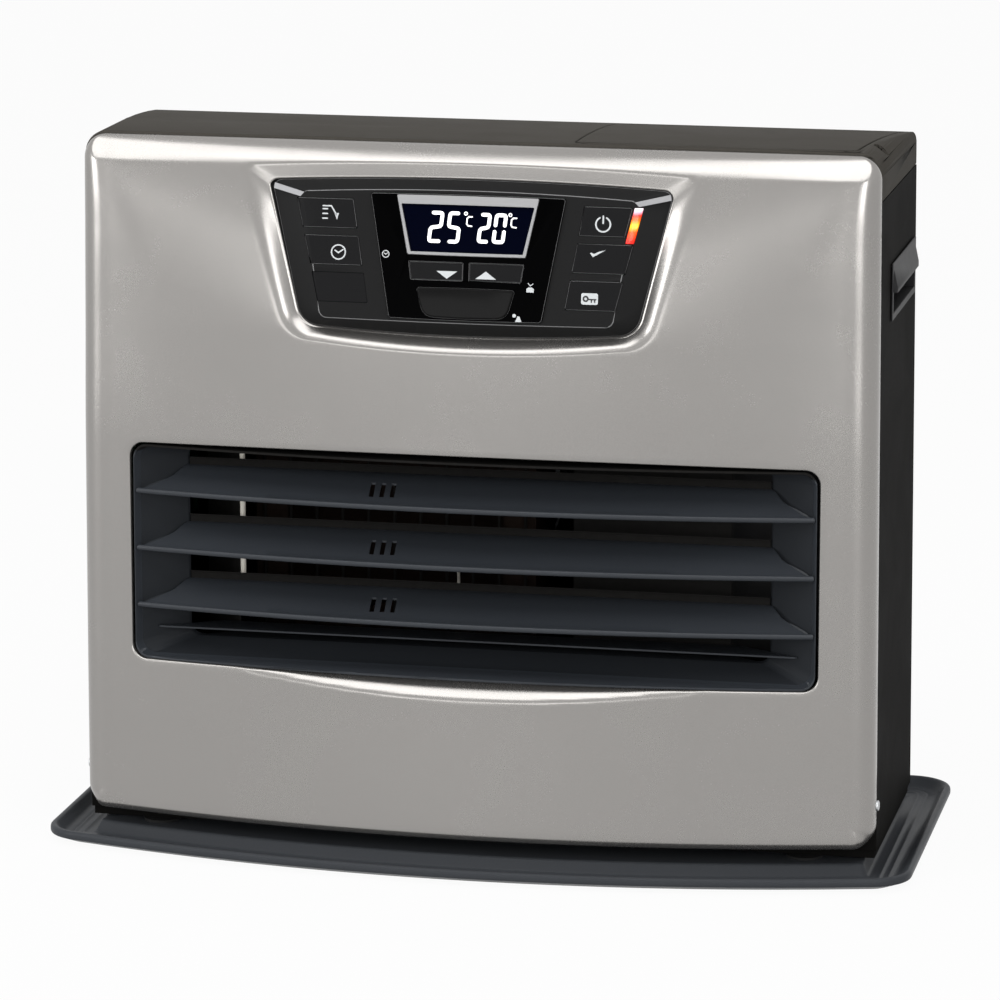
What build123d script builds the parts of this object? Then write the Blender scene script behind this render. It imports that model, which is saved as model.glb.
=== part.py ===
from build123d import *
from math import *
import os

# Paraffin fan heater, in millimetres. X runs to the right, Y to the back and Z up.
# The origin is on the floor, at the middle of the drip tray.

# Body
width_top = 482.0           # body width near the top seam
width_foot = 488.0          # body width at the floor, so the sides lean in a little
draft_height = 420.0        # height over which the sides lean in
seam_y = -70.0              # plane where the silver front meets the dark cabinet
cabinet_depth = 158.0       # from that seam to the back
seam_z = 436.4              # top of the silver front
corner_r = 14.0             # rounding of the body's corners, seen from the front
steel = 1.0                 # cabinet sheet
panel_foot_z = 20.5         # lower edge of the silver front
cabinet_foot_z = 17.0       # lower edge of the side panels
clearance = 0.3             # between pieces that sit next to each other

# Silver front: height of each station, depth of the face at its ends and at its middle
face_stations = [
    (panel_foot_z, 16.5, 43.5),
    (120.0, 17.5, 40.0),
    (254.0, 17.5, 38.5),
    (325.0, 16.0, 38.0),
    (380.0, 14.0, 28.5),
    (417.0, 12.0, 17.0),
    (427.0, 9.5, 12.5),
    (433.0, 6.5, 8.0),
    (seam_z, 2.5, 3.0),
]

screw_z = 45.0              # height of the side screws of the silver front
screw_notch = 5.0

# Outlet opening and louvre
outlet_half = 210.0
outlet_low_z = 118.5
outlet_high_z = 252.0
outlet_r = 9.0
outlet_crown = 3.0          # how far its upper edge arches
facet_depth = 31.0          # depth of the bevelled crescent at the outlet's lower edge
facet_slope = 0.83          # how much deeper it gets for each millimetre down
facet_run = 20.0
mouth_lift = 1.6            # louvre frame's floor above the outlet's edge
mouth_drop = 2.2            # louvre frame's ceiling below it
throat_rise = 9.4           # how far the louvre frame's floor climbs to the rear
throat_half = 150.0         # louvre frame at its rear
throat_depth = 15.2         # rear of the louvre frame behind the seam
louvre_bevel = 4.4          # width of the bevel round the louvre frame
slat_count = 3
slat_first_z = 222.0        # front lip of the top slat
slat_pitch = 35.3
slat_rise = 13.8            # how far a slat climbs to its rear edge
slat_half = 208.4
slat_lip = 3.4              # height of the front lip
slat_thick = 1.2
slat_rear_half = 179.5      # half length of a slat's rear edge
slat_slot = 2.8             # width of the small slots in each slat
slat_slot_length = 8.0
slat_slot_x = -49.0
slat_slot_pitch = 6.4
blade_z = 136.0             # thin lower blade
blade_depth = 13.0

# Control panel, drawn on a plane that leans back at the top
panel_lean = 8.3            # degrees
panel_z = 370.0
panel_y = 21.9              # depth of that plane in front of the seam at panel_z
bezel_top_half = 121.1
bezel_low_half = 101.1
bezel_top = 44.4
bezel_low = -40.0
bezel_crown_top = 3.3
bezel_crown_low = 4.5
bezel_rise = 8.0            # how far the bezel stands up from its edge
bezel_wall = 2.0
bezel_skirt = 6.0
ridge_top_half = 100.0
ridge_low_half = 88.0
ridge_top = 38.4
ridge_low = -36.0
dish_rise = 8.5             # depth of the dish round the bezel
dish_top_half = 137.0
dish_low_half = 110.5
dish_top = 51.0
dish_low = -46.5
dish_crown_top = 6.0
dish_crown_low = 7.4
dish_gap = 1.2              # silver ledge between dish wall and bezel

# Buttons: three rows, between two slanted lines on each side
row_top = 34.4
row_height = 17.1
row_pitch = 21.8
button_outer = 98.8         # outer slanted line at the second row's top
button_inner = 65.9         # inner slanted line there
outer_slant = 0.24
inner_slant = 0.165
button_travel = 0.8
button_proud = 0.2
button_depth = 5.0
light_width = 4.6           # indicator bar beside the power button
light_length = 21.0

# Centre housing with the display, the two keys and the motion window
housing_top_half = 58.5
housing_low_half = 45.8
housing_top = 38.4
housing_low = -34.5
housing_proud = 1.5
housing_thick = 4.0
display_top_half = 42.6
display_low_half = 35.4
display_top = 38.0
display_low = 3.3
display_border = 1.6
display_strip = 5.2         # broad band over the display
keys_half = 34.4
keys_top = -1.2
keys_low = -11.3
keys_split = 2.2            # half of the web between the two keys
window_top_half = 29.5
window_low_half = 25.0
window_top = -16.4
window_low = -33.0
board_back = -11.0          # control board behind the panel plane
board_thick = 1.6

# Top cover and tank lid
top_front_z = 438.0
top_crown_r = 1380.0        # radius of the gentle fall to the back
cover_foot_z = 409.0
cover_wall = 2.5
cover_rear_r = 8.0
lid_left = 57.3
lid_right_front = 224.0
lid_right_rear = 233.0
lid_front = 5.0             # behind the seam
lid_rear = 146.0
lid_gap = 0.8
lid_rear_gap = 2.1          # wider, for the lid's rear edge to swing
lid_corner_r = 9.0
hinge_drop = 4.0            # hinge axis below the lid's top
hinge_inset = 4.0           # hinge axis in front of the lid's rear edge
hinge_pin_r = 1.2
hinge_run = 0.05
knuckle_r = 2.3
knuckle_length = 12.0

# Tank and its well
tank_left = 64.0
tank_right = 213.0
tank_front = 44.0
tank_rear = 140.0
tank_low_z = 100.0
tank_high_z = 406.0
tank_r = 12.0
tank_wall = 1.0
gauge_x = 100.0             # window of the fuel gauge
gauge_w = 12.0
gauge_low_z = 130.0
gauge_high_z = 380.0
gauge_recess = 2.0
well_wall = 2.0
well_rim_z = 404.0
well_floor = 3.0
sump_low_z = 24.0
sump_high_z = 68.0
sump_wall = 2.0
sump_cup = 22.0             # depth of the strainer's seat in the sump
cap_r = 25.0
cap_height = 24.0
handle_r = 2.5
handle_half = 40.0
handle_reach = 46.0
lug_margin = 2.0            # metal of the lugs above the handle's wire

# Side handles
grip_front = 42.0
grip_rear = 148.0
grip_low_z = 331.5
grip_high_z = 366.0
grip_depth = 22.0
grip_rim = 2.0
grip_wall = 2.0
grip_proud = 2.4

# Bush in the rear cover where a mains lead would come out
gland_x = 214.0
gland_z = 58.0
gland_r = 7.0

# Drip tray and feet
tray_half = 266.8
tray_front = 67.5           # in front of the seam, at the middle
tray_rear = 204.5           # behind the seam
tray_bow = 26.5             # how far the front bows over tray_bow_half
tray_bow_half = 221.0
tray_corner_r = 26.0
tray_height = 9.5
tray_lip = 4.5              # underside of the rim
tray_rim = 5.0
tray_floor = 3.0
tray_tuck = 12.0            # how far the underside draws in
plinth_z = 10.5
plinth_inset = 31.0
foot_r = 11.0
foot_height = 1.5
foot_x = 200.0
foot_front = 4.0
foot_rear = 140.0
pan_wall = 1.2
pan_flange = 14.0

# Air path
duct_left = -178.0
duct_right = 52.0
duct_low_z = 108.0
duct_high_z = 302.0
duct_front = 40.0
duct_rear = 128.0
fan_x = -64.0
fan_z = 205.0
fan_r = 84.0
fan_depth = 18.0
fan_y = 132.0               # front of the blades, behind the seam
fan_blades = 5
fan_blade_thick = 1.6
fan_pitch = 28.0
fan_hub_r = 24.0
fan_shaft_r = 3.0
fan_run = 0.05
motor_r = 34.0
guard_r = 94.0
guard_rings = 7
guard_wire = 1.3
guard_spokes = 8
guard_depth = 26.0
duct_tab = 24.0             # height of the duct's brackets
filter_thick = 5.0
filter_wall = 2.4
filter_bars = 6

# Burner
burner_x = -64.0
burner_y = 88.0
pot_r = 30.0
pot_low_z = 30.0
pot_high_z = 104.0
pot_wall = 2.0
pot_flange = 8.0            # width of the pot's top flange
burner_r = 24.0
burner_height = 26.0
chamber_half = 88.0
chamber_front = 58.0
chamber_rear = 118.0
chamber_top_z = 286.0
chamber_wall = 0.8
guard_pitch = 16.0
guard_wire_r = 1.0

# Combustion blower
blower_x = -150.0
blower_y = 70.0
blower_r = 46.0
blower_low_z = 26.0
blower_high_z = 64.0
blower_wall = 1.6
wheel_r = 36.0
wheel_blades = 16

# Fuel pump and pipe
pump_x = 30.0
pump_y = 96.0
pump_r = 15.0
pump_high_z = 96.0
pipe_r = 2.0
pipe_low_z = 80.0           # where the pipe enters the pot


def y_at(depth):
    """Y of a place that lies this far behind the seam."""
    return seam_y + depth


def half_width(z):
    """Half of the body's width at a height."""
    return (width_foot + (width_top - width_foot) * z / draft_height) / 2


def block(x0, x1, y0, y1, z0, z1):
    """Box between two corners, its depths counted from the seam."""
    size = Box(x1 - x0, y1 - y0, z1 - z0)
    return Pos((x0 + x1) / 2, y_at((y0 + y1) / 2), (z0 + z1) / 2) * size


def rod(x, depth, z0, z1, r):
    """Upright cylinder."""
    return Pos(x, y_at(depth), (z0 + z1) / 2) * Cylinder(r, z1 - z0)


def rod_y(x, z, y0, y1, r):
    """Cylinder along Y, its depths counted from the seam."""
    return Pos(x, y_at((y0 + y1) / 2), z) * Rot(90, 0, 0) * Cylinder(r, y1 - y0)


def rod_x(x0, x1, depth, z, r):
    """Cylinder along X."""
    return Pos((x0 + x1) / 2, y_at(depth), z) * Rot(0, 90, 0) * Cylinder(r, x1 - x0)


def face_from(points):
    """Face inside a closed run of straight lines in the XY plane."""
    return make_face(Polyline(*points, close=True))


def body_profile(inset, low_z, high_z, low_r):
    """Front view of the body: leaning sides and round top corners."""
    pts = [
        (-half_width(low_z) + inset, low_z),
        (half_width(low_z) - inset, low_z),
        (half_width(high_z) - inset, high_z),
        (-half_width(high_z) + inset, high_z),
    ]
    face = face_from(pts)
    corners = face.vertices().group_by(Axis.Y)
    face = fillet(corners[-1], corner_r - inset)
    if low_r > 0:
        face = fillet(face.vertices().group_by(Axis.Y)[0], low_r - inset)
    return face


def along_y(face, y0, y1):
    """Front-view face pulled from one depth to another."""
    solid = extrude(face, y1 - y0)
    return Pos(0, y_at(y1), 0) * Rot(90, 0, 0) * solid


def plan_station(z, ends, middle, inset):
    """Closed outline of the silver front seen from above, at one height."""
    h = half_width(z) - inset
    e = max(ends - inset, 0.6)
    m = max(middle - inset, 0.8)
    r = min(corner_r - inset, e - 0.3)
    k = r * (1 - sqrt(0.5))
    back = y_at(0)
    p = [
        (-h, back), (-h, back - e + r), (-h + k, back - e + k), (-h + r, back - e),
        (0, back - m),
        (h - r, back - e), (h - k, back - e + k), (h, back - e + r), (h, back),
    ]
    p = [(x, y, z) for x, y in p]
    edges = [
        Line(p[0], p[1]),
        ThreePointArc(p[1], p[2], p[3]),
        ThreePointArc(p[3], p[4], p[5]),
        ThreePointArc(p[5], p[6], p[7]),
        Line(p[7], p[8]),
        Line(p[8], p[0]),
    ]
    return make_face(Wire(edges))


def front_body(inset):
    """Solid whose skin is the silver front, drawn in by an inset."""
    faces = [plan_station(z, ends, middle, inset) for z, ends, middle in face_stations]
    return loft(faces, ruled=True)


def panel_outline(top_half, low_half, top, low, crown_top, crown_low, top_r, low_r, grow=0.0):
    """Trapezoid with bowed top and bottom, on the control panel's plane."""
    t = top_half + grow
    b = low_half + grow
    u = top + grow
    v = low - grow
    edges = [
        ThreePointArc((-t, u), (0, u + crown_top), (t, u)),
        Line((t, u), (b, v)),
        ThreePointArc((b, v), (0, v - crown_low), (-b, v)),
        Line((-b, v), (-t, u)),
    ]
    face = make_face(Wire(edges))
    face = fillet(face.vertices().group_by(Axis.Y)[-1], top_r)
    return fillet(face.vertices().group_by(Axis.Y)[0], low_r)


def panel_place():
    """The control panel's leaning plane: X right, Y up along it, Z outwards."""
    a = radians(panel_lean)
    return Plane(origin=(0, y_at(-panel_y), panel_z), x_dir=(1, 0, 0), z_dir=(0, -cos(a), sin(a)))


def on_panel(face, w0, w1):
    """Prism on the control panel's plane between two heights above it."""
    return panel_place() * (Pos(0, 0, w0) * extrude(face, w1 - w0))


def bezel_base(grow=0.0):
    """Outline of the bezel where it meets the dish."""
    return panel_outline(bezel_top_half, bezel_low_half, bezel_top, bezel_low,
                         bezel_crown_top, bezel_crown_low, 5.0 + grow / 2, 14.0 + grow, grow)


def bezel_ridge(grow=0.0):
    """Outline of the bezel's flat front."""
    return panel_outline(ridge_top_half, ridge_low_half, ridge_top, ridge_low,
                         3.0, 0.8, 2.5, 5.0, grow)


def dish_cutter(grow=0.0):
    """The hollow round the bezel, grown by the sheet where its back is wanted."""
    ledge = panel_outline(bezel_top_half, bezel_low_half, bezel_top, bezel_low,
                          bezel_crown_top, bezel_crown_low, 6.0, 15.0, dish_gap + grow)
    rim = panel_outline(dish_top_half, dish_low_half, dish_top, dish_low,
                        dish_crown_top, dish_crown_low, 4.0, 20.0, grow)
    lower = Pos(0, 0, -grow) * ledge
    upper = Pos(0, 0, dish_rise) * rim
    flare = loft([lower, upper], ruled=True)
    return panel_place() * (flare + Pos(0, 0, dish_rise) * extrude(rim, 20.0))


def outlet_facet(grow):
    """Wedge in front of the bevelled crescent under the outlet."""
    d0 = facet_depth - grow * sqrt(1 + facet_slope ** 2)
    d1 = d0 + facet_run * facet_slope
    low = outlet_low_z - facet_run
    pts = [(d0, outlet_low_z), (d1, low), (d1 + 40.0, low), (d1 + 40.0, outlet_low_z)]
    side = face_from([(-outlet_half, y_at(-d), z) for d, z in pts])
    return extrude(side, 2 * outlet_half, dir=(1, 0, 0))


def outlet_opening():
    """Front view of the outlet: round corners and a slightly arched upper edge."""
    h = outlet_half
    low, high = outlet_low_z, outlet_high_z
    edges = [
        Line((-h, high), (-h, low)),
        Line((-h, low), (h, low)),
        Line((h, low), (h, high)),
        ThreePointArc((h, high), (0, high + outlet_crown), (-h, high)),
    ]
    face = make_face(Wire(edges))
    return fillet(face.vertices(), outlet_r)


def front_panel():
    """Silver steel front with its dish and outlet opening."""
    profile = body_profile(0.0, panel_foot_z, seam_z, corner_r)
    inner_profile = body_profile(steel, panel_foot_z - 1.0, seam_z - steel, corner_r)
    skin = front_body(0.0) & along_y(profile, -80.0, 0.0)
    hollow = front_body(steel) & along_y(inner_profile, -80.0, 0.0)
    skin = skin - outlet_facet(0.0)
    hollow = hollow - outlet_facet(steel)
    shell = (skin - dish_cutter()) - (hollow - dish_cutter(steel))
    shell = shell - on_panel(bezel_base(clearance), -4.0, 4.0)
    shell = shell - along_y(outlet_opening(), -80.0, 5.0)
    for side in (-1, 1):
        x = side * half_width(screw_z)
        shell = shell - block(x - 3, x + 3, -screw_notch, 1.0, screw_z - screw_notch, screw_z + screw_notch)
    return shell


def top_profile(drop):
    """Side view of the top: a gentle fall to the back and a round rear edge."""
    fall = cabinet_depth ** 2 / (2 * top_crown_r)
    mid_fall = (cabinet_depth / 2) ** 2 / (2 * top_crown_r)
    z0 = top_front_z - drop
    a = (y_at(0.2), z0)
    b = (y_at(cabinet_depth / 2), z0 - mid_fall)
    c = (y_at(cabinet_depth - drop), z0 - fall)
    edges = [
        ThreePointArc(a, b, c),
        Line(c, (c[0], cover_foot_z - 5)),
        Line((c[0], cover_foot_z - 5), (a[0], cover_foot_z - 5)),
        Line((a[0], cover_foot_z - 5), a),
    ]
    face = make_face(Wire(edges))
    rear_top = [v for v in face.vertices() if abs(v.X - c[0]) < 0.01 and v.Y > cover_foot_z]
    return fillet(rear_top, cover_rear_r - drop)


def top_body(drop):
    """Solid under the top's skin."""
    side = Rot(0, 0, 90) * Rot(90, 0, 0) * extrude(top_profile(drop), 600.0)
    side = Pos(-300.0, 0, 0) * side
    return side & along_y(body_profile(drop, cover_foot_z - 4, top_front_z - drop, 0), 0.0, 200.0)


def lid_outline(grow, rear_grow):
    """Tank lid seen from above."""
    x0 = lid_left - grow
    pts = [
        (x0, y_at(lid_front - grow)),
        (lid_right_front + grow, y_at(lid_front - grow)),
        (lid_right_rear + grow, y_at(lid_rear + rear_grow)),
        (x0, y_at(lid_rear + rear_grow)),
    ]
    face = face_from(pts)
    return fillet(face.vertices().group_by(Axis.Y)[0], lid_corner_r)


def lid_prism(grow, rear_grow):
    """The lid's outline pulled upwards."""
    return Pos(0, 0, cover_foot_z) * extrude(lid_outline(grow, rear_grow), 60.0)


def hinge_depth():
    """The lid's hinge axis, behind the seam."""
    return lid_rear - hinge_inset


def hinge_z():
    """Height of the lid's hinge axis."""
    return top_front_z - hinge_depth() ** 2 / (2 * top_crown_r) - hinge_drop


def hinge_ends():
    """Outer ends of the hinge pin."""
    return lid_left + 6.0, lid_right_rear - 20.0


def knuckle_spans(part):
    """X spans of the hinge knuckles, of the cover or of the lid."""
    x0, x1 = hinge_ends()
    n = knuckle_length
    if part == "cover":
        return [(x0, x0 + n), (x1 - n, x1)]
    return [(x0 + n + 0.4, x0 + 2 * n), (x1 - 2 * n, x1 - n - 0.4)]


def top_cover():
    """Dark cap of the cabinet with the opening over the tank."""
    skin = top_body(0.0) - block(-300, 300, -10, 300, 0, cover_foot_z)
    hollow = top_body(cover_wall) - block(-300, 300, -10, cover_wall + 0.2, 0, 500)
    cover = skin - hollow
    slot = lid_prism(lid_gap, lid_rear_gap) & block(-300, 300, -10, 300, cover_foot_z + 4, 500)
    cover = cover - slot
    notch = Pos(lid_right_front + 11.0, y_at(40.0), top_front_z - 3.0) * Sphere(5.0)
    cover = cover - notch
    hz = hinge_z()
    for x0, x1 in knuckle_spans("cover"):
        lug = rod_x(x0, x1, hinge_depth(), hz, knuckle_r)
        arm = block(x0, x1, hinge_depth(), lid_rear + 6.0, hz - knuckle_r, hz + 0.6)
        cover = cover + lug + (arm & top_body(0.5))
        cover = cover - rod_x(x0 - 1, x1 + 1, hinge_depth(), hz, hinge_pin_r + hinge_run)
    return cover


def tank_lid():
    """Lid over the tank, hinged along its rear edge."""
    lid = (top_body(0.0) - top_body(cover_wall)) & lid_prism(0.0, 0.0)
    hz = hinge_z()
    reach = knuckle_r + 0.5
    for x0, x1 in knuckle_spans("cover"):
        lid = lid - block(x0 - 0.4, x1 + 0.4, hinge_depth() - reach, lid_rear + 5, hz - 10, hz + 10)
    for x0, x1 in knuckle_spans("lid"):
        lug = rod_x(x0, x1, hinge_depth(), hz, knuckle_r)
        lid = lid + (lug & top_body(0.0))
        lid = lid - rod_x(x0 - 1, x1 + 1, hinge_depth(), hz, hinge_pin_r + hinge_run)
    return lid


def lid_hinge_pin():
    """Steel pin through the lid's knuckles."""
    x0, x1 = hinge_ends()
    return rod_x(x0, x1, hinge_depth(), hinge_z(), hinge_pin_r)


def side_panel(side):
    """One side of the cabinet, with its handle opening and folded edges."""
    top = cover_foot_z - clearance
    h0 = half_width(cabinet_foot_z)
    h1 = half_width(top)
    plate = face_from([(h0, cabinet_foot_z), (h1, top), (h1 - steel, top), (h0 - steel, cabinet_foot_z)])
    fold = face_from([(h0, cabinet_foot_z), (h1, top), (h1 - 14, top), (h0 - 14, cabinet_foot_z)])
    rear = cabinet_depth - steel - clearance
    solid = along_y(plate, clearance, rear)
    solid = solid + along_y(fold, clearance, clearance + steel) + along_y(fold, rear - steel, rear)
    gap = clearance
    hole = block(150, 300, grip_front + grip_rim - gap, grip_rear - grip_rim + gap,
                 grip_low_z + grip_rim - gap, grip_high_z - grip_rim + gap)
    solid = solid - hole
    solid = solid - block(150, 300, rear - 3.0, rear + 1, 28.0, 44.0)
    return solid if side > 0 else mirror(solid, Plane.YZ)


def rear_cover():
    """Back of the cabinet with the fan opening and cooling slots."""
    profile = face_from([
        (-half_width(cabinet_foot_z), cabinet_foot_z), (half_width(cabinet_foot_z), cabinet_foot_z),
        (half_width(cover_foot_z - clearance), cover_foot_z - clearance),
        (-half_width(cover_foot_z - clearance), cover_foot_z - clearance),
    ])
    plate = along_y(profile, cabinet_depth - steel, cabinet_depth)
    plate = plate - rod_y(fan_x, fan_z, 100.0, 200.0, guard_r - 6.0)
    for row in range(4):
        z = 330.0 + row * 14.0
        for col in range(4):
            x = -170.0 + col * 46.0
            plate = plate - block(x, x + 32.0, 100.0, 200.0, z, z + 4.0)
    plate = plate - rod_y(gland_x, gland_z, 100.0, 200.0, gland_r + clearance)
    return plate


def cord_gland():
    """Bush in the rear cover for a mains lead."""
    body = rod_y(gland_x, gland_z, cabinet_depth - 5, cabinet_depth + 6, gland_r)
    collar = rod_y(gland_x, gland_z, cabinet_depth + clearance, cabinet_depth + 3, gland_r + 3)
    inner = rod_y(gland_x, gland_z, cabinet_depth - 5, cabinet_depth - steel - clearance, gland_r + 2)
    return body + collar + inner


def side_handle(side):
    """Moulded finger recess with an overhanging grip, set in a side panel."""
    zm = (grip_low_z + grip_high_z) / 2
    h = half_width(zm)
    lo = grip_low_z + grip_rim
    hi = grip_high_z - grip_rim
    y0 = grip_front + grip_rim
    y1 = grip_rear - grip_rim
    cup = block(h - grip_depth, h + 0.4, y0, y1, lo, hi)
    rim = block(h + 0.4, h + 1.4, grip_front, grip_rear, grip_low_z, grip_high_z)
    w = grip_wall
    hollow = block(h - grip_depth + w, h + 5, y0 + w, y1 - w, lo + w, hi - w)
    hood = face_from([(h - 1.0, hi - w), (h + 1.4, hi - w), (h + grip_proud + 1.4, lo + 18.0),
                      (h + grip_proud + 1.4, lo + 14.5), (h - 0.4, lo + 14.5), (h - 2.6, hi - w)])
    body = (cup + rim) - hollow
    body = body + along_y(hood, y0 + w, y1 - w)
    return body if side > 0 else mirror(body, Plane.YZ)


def louvre_section(depth, half, low, high, r):
    """Rounded rectangle of the louvre's funnel at one depth."""
    rect = RectangleRounded(2 * half, high - low, r)
    face = Pos(0, (low + high) / 2) * rect
    return Pos(0, y_at(depth), 0) * Rot(90, 0, 0) * face


def louvre_funnel(grow):
    """Space inside the louvre frame, grown by its wall where wanted."""
    lo = outlet_low_z + mouth_lift - grow
    hi = outlet_high_z - mouth_drop + grow
    mouth = outlet_half - 1.0 - clearance - 0.4 + min(grow, 0.4)
    bevel = outlet_half - clearance - louvre_bevel + grow
    throat = throat_half + grow
    stations = [
        louvre_section(-60.0, mouth, lo, hi, outlet_r),
        louvre_section(-20.5, mouth, lo, hi, outlet_r),
        louvre_section(-15.0, bevel, lo + 0.8, hi - 0.2, outlet_r),
        louvre_section(-1.0, slat_rear_half + grow, lo + throat_rise, hi - 0.4, outlet_r - 2),
        louvre_section(throat_depth + (20.0 if grow == 0 else 0), throat, lo + throat_rise + 1.5,
                       hi - 1.0, outlet_r - 2),
    ]
    return loft(stations, ruled=True)


def louvre_frame():
    """Funnel behind the outlet opening that carries the slats."""
    frame = louvre_funnel(1.4) & front_body(steel + clearance)
    rear = louvre_funnel(1.4) & block(-300, 300, -0.5, 60, 0, 400)
    frame = (frame + rear) - louvre_funnel(0.0)
    return frame


def slat_face_depth(x):
    """How far a slat's lip lies in front of the seam."""
    ends = 19.4
    middle = 37.4
    return middle - (middle - ends) * (x / slat_half) ** 2


def slat_section(x, z):
    """Cross-section of a slat at one x: a lip and a blade that climbs to the rear."""
    front = -slat_face_depth(x)
    rear = -1.5
    run = rear - front
    t = slat_thick
    z2 = z + slat_rise
    pts = [
        (front, z - slat_lip / 2), (front + 2.0, z - slat_lip / 2),
        (front + 2.2, z - 0.6 + 0.2), (front + run * 0.55, z + slat_rise * 0.34),
        (rear, z2 - t), (rear, z2),
        (front + run * 0.55 - 0.3, z + slat_rise * 0.34 + t), (front + 1.6, z + slat_lip / 2),
        (front, z + slat_lip / 2),
    ]
    wire = Polyline(*[(x, y_at(d), h) for d, h in pts], close=True)
    return make_face(wire)


def louvre_slat(index):
    """One fixed slat, bowed in plan like the front."""
    z = slat_first_z - index * slat_pitch
    xs = [-slat_half, -140.0, -70.0, 0.0, 70.0, 140.0, slat_half]
    slat = loft([slat_section(x, z) for x in xs], ruled=True)
    slat = slat & louvre_funnel(-clearance)
    for k in range(3):
        x = slat_slot_x + (k - 1) * slat_slot_pitch
        slat = slat - block(x, x + slat_slot, -22, -22 + slat_slot_length, z - 8, z + 20)
    return slat


def lower_blade():
    """Thin fixed blade at the bottom of the outlet."""
    blade = block(-200.0, 200.0, -4.0, -4.0 + blade_depth, blade_z, blade_z + 1.0)
    return blade & louvre_funnel(-clearance)


def button_outline(side, row, grow=0.0):
    """Slanted button outline in one of the three rows."""
    top = row_top - row * row_pitch + grow
    low = row_top - row * row_pitch - row_height - grow
    ref = row_top - row_pitch

    def outer(v):
        return button_outer + outer_slant * (v - ref) + grow

    def inner(v):
        return button_inner + inner_slant * (v - ref) - grow

    cut = light_width + 1.4 if (side > 0 and row == 0) else 0.0
    pts = [(inner(low), low), (outer(low) - cut, low), (outer(top) - cut, top), (inner(top), top)]
    pts = [(side * x, v) for x, v in pts]
    face = face_from(pts)
    return fillet(face.vertices(), 0.8)


def light_outline(grow=0.0):
    """Indicator bar at the outer end of the power button."""
    ref = row_top - row_pitch
    top = row_top + grow
    low = row_top - light_length - grow

    def outer(v):
        return button_outer + outer_slant * (v - ref)

    w = light_width + grow
    pts = [(outer(low) - w, low), (outer(low) + grow, low), (outer(top) + grow, top), (outer(top) - w, top)]
    return face_from(pts)


def housing_outline(grow=0.0):
    """Glossy block in the middle of the bezel."""
    return panel_outline(housing_top_half, housing_low_half, housing_top, housing_low,
                         0.6, 0.6, 1.5, 2.0, grow)


def display_outline(grow=0.0):
    """Silver frame round the display."""
    return panel_outline(display_top_half, display_low_half, display_top, display_low,
                         0.2, 0.2, 0.8, 0.8, grow)


def screen_outline(grow=0.0):
    """Opening of the display frame."""
    b = display_border
    return panel_outline(display_top_half - b - 1.0, display_low_half - b, display_top - display_strip,
                         display_low + b, 0.1, 0.1, 0.6, 0.6, grow)


def key_outline(side, grow=0.0):
    """One of the two keys under the display."""
    x0 = keys_split - grow
    x1 = keys_half + grow
    pts = [(x0, keys_low - grow), (x1 - 1.6, keys_low - grow), (x1, keys_top + grow), (x0, keys_top + grow)]
    face = face_from([(side * x, v) for x, v in pts])
    return fillet(face.vertices(), 0.5)


def window_outline(grow=0.0):
    """Dark window of the motion sensor."""
    return panel_outline(window_top_half, window_low_half, window_top, window_low,
                         0.3, 0.8, 1.5, 8.0, grow)


def bezel_body(grow):
    """Solid under the bezel's skin."""
    base = bezel_base(grow)
    ridge = Pos(0, 0, bezel_rise + grow) * bezel_ridge(grow)
    return panel_place() * loft([base, ridge], ruled=True)


def housing_top_w():
    """Height of the housing's face above the panel plane."""
    return bezel_rise + housing_proud


def control_bezel():
    """Dark surround of the controls."""
    solid = bezel_body(0.0) + on_panel(bezel_base(), -bezel_skirt, 0.0)
    flange = bezel_base(4.0) - bezel_base(-bezel_wall)
    solid = solid + on_panel(flange, -steel - clearance - 1.8, -steel - clearance)
    base = bezel_base(-bezel_wall)
    ridge = Pos(0, 0, bezel_rise - bezel_wall) * bezel_ridge(-bezel_wall)
    hollow = panel_place() * loft([base, ridge], ruled=True)
    hollow = hollow + on_panel(base, -bezel_skirt - 1, 0.0)
    solid = solid - hollow
    g = clearance
    for side in (-1, 1):
        for row in range(3):
            solid = solid - on_panel(button_outline(side, row, g), -1.0, 20.0)
    solid = solid - on_panel(light_outline(g), -1.0, 20.0)
    solid = solid - on_panel(housing_outline(g), -1.0, 20.0)
    for x, v in board_posts():
        boss = on_panel(Pos(x, v) * Circle(3.0), board_back + board_thick, bezel_rise - bezel_wall)
        solid = solid + boss
    return solid


def board_posts():
    """Places of the bosses between bezel and control board."""
    return [(-61.7, 24.0), (61.7, 24.0), (-53.0, -30.0), (53.0, -30.0)]


def panel_button(side, row):
    """Push button whose face follows the bezel."""
    low_w = bezel_rise + button_proud - button_depth
    cap = on_panel(button_outline(side, row), low_w, 20.0) & bezel_body(button_proud)
    u = button_outline(side, row).center()
    stem_low = board_back + board_thick + 1.2 + button_travel
    stem = on_panel(Pos(u.X, u.Y) * Circle(2.0), stem_low, low_w + 1.0)
    return cap + stem


def blank_plate():
    """Blank in the third place on the left."""
    low_w = bezel_rise - bezel_wall - 1.0
    return on_panel(button_outline(-1, 2, 0.1), low_w, 20.0) & bezel_body(-0.25)


def light_bar():
    """Lens of the burning indicator."""
    lens = on_panel(light_outline(), 1.0, 20.0) & bezel_body(button_proud + 0.1)
    ref = row_top - row_pitch
    v = row_top - light_length / 2
    x = button_outer + outer_slant * (v - ref) - light_width / 2
    guide = on_panel(Pos(x, v) * Circle(1.6), board_back + board_thick, 1.4)
    return lens + guide


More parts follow.
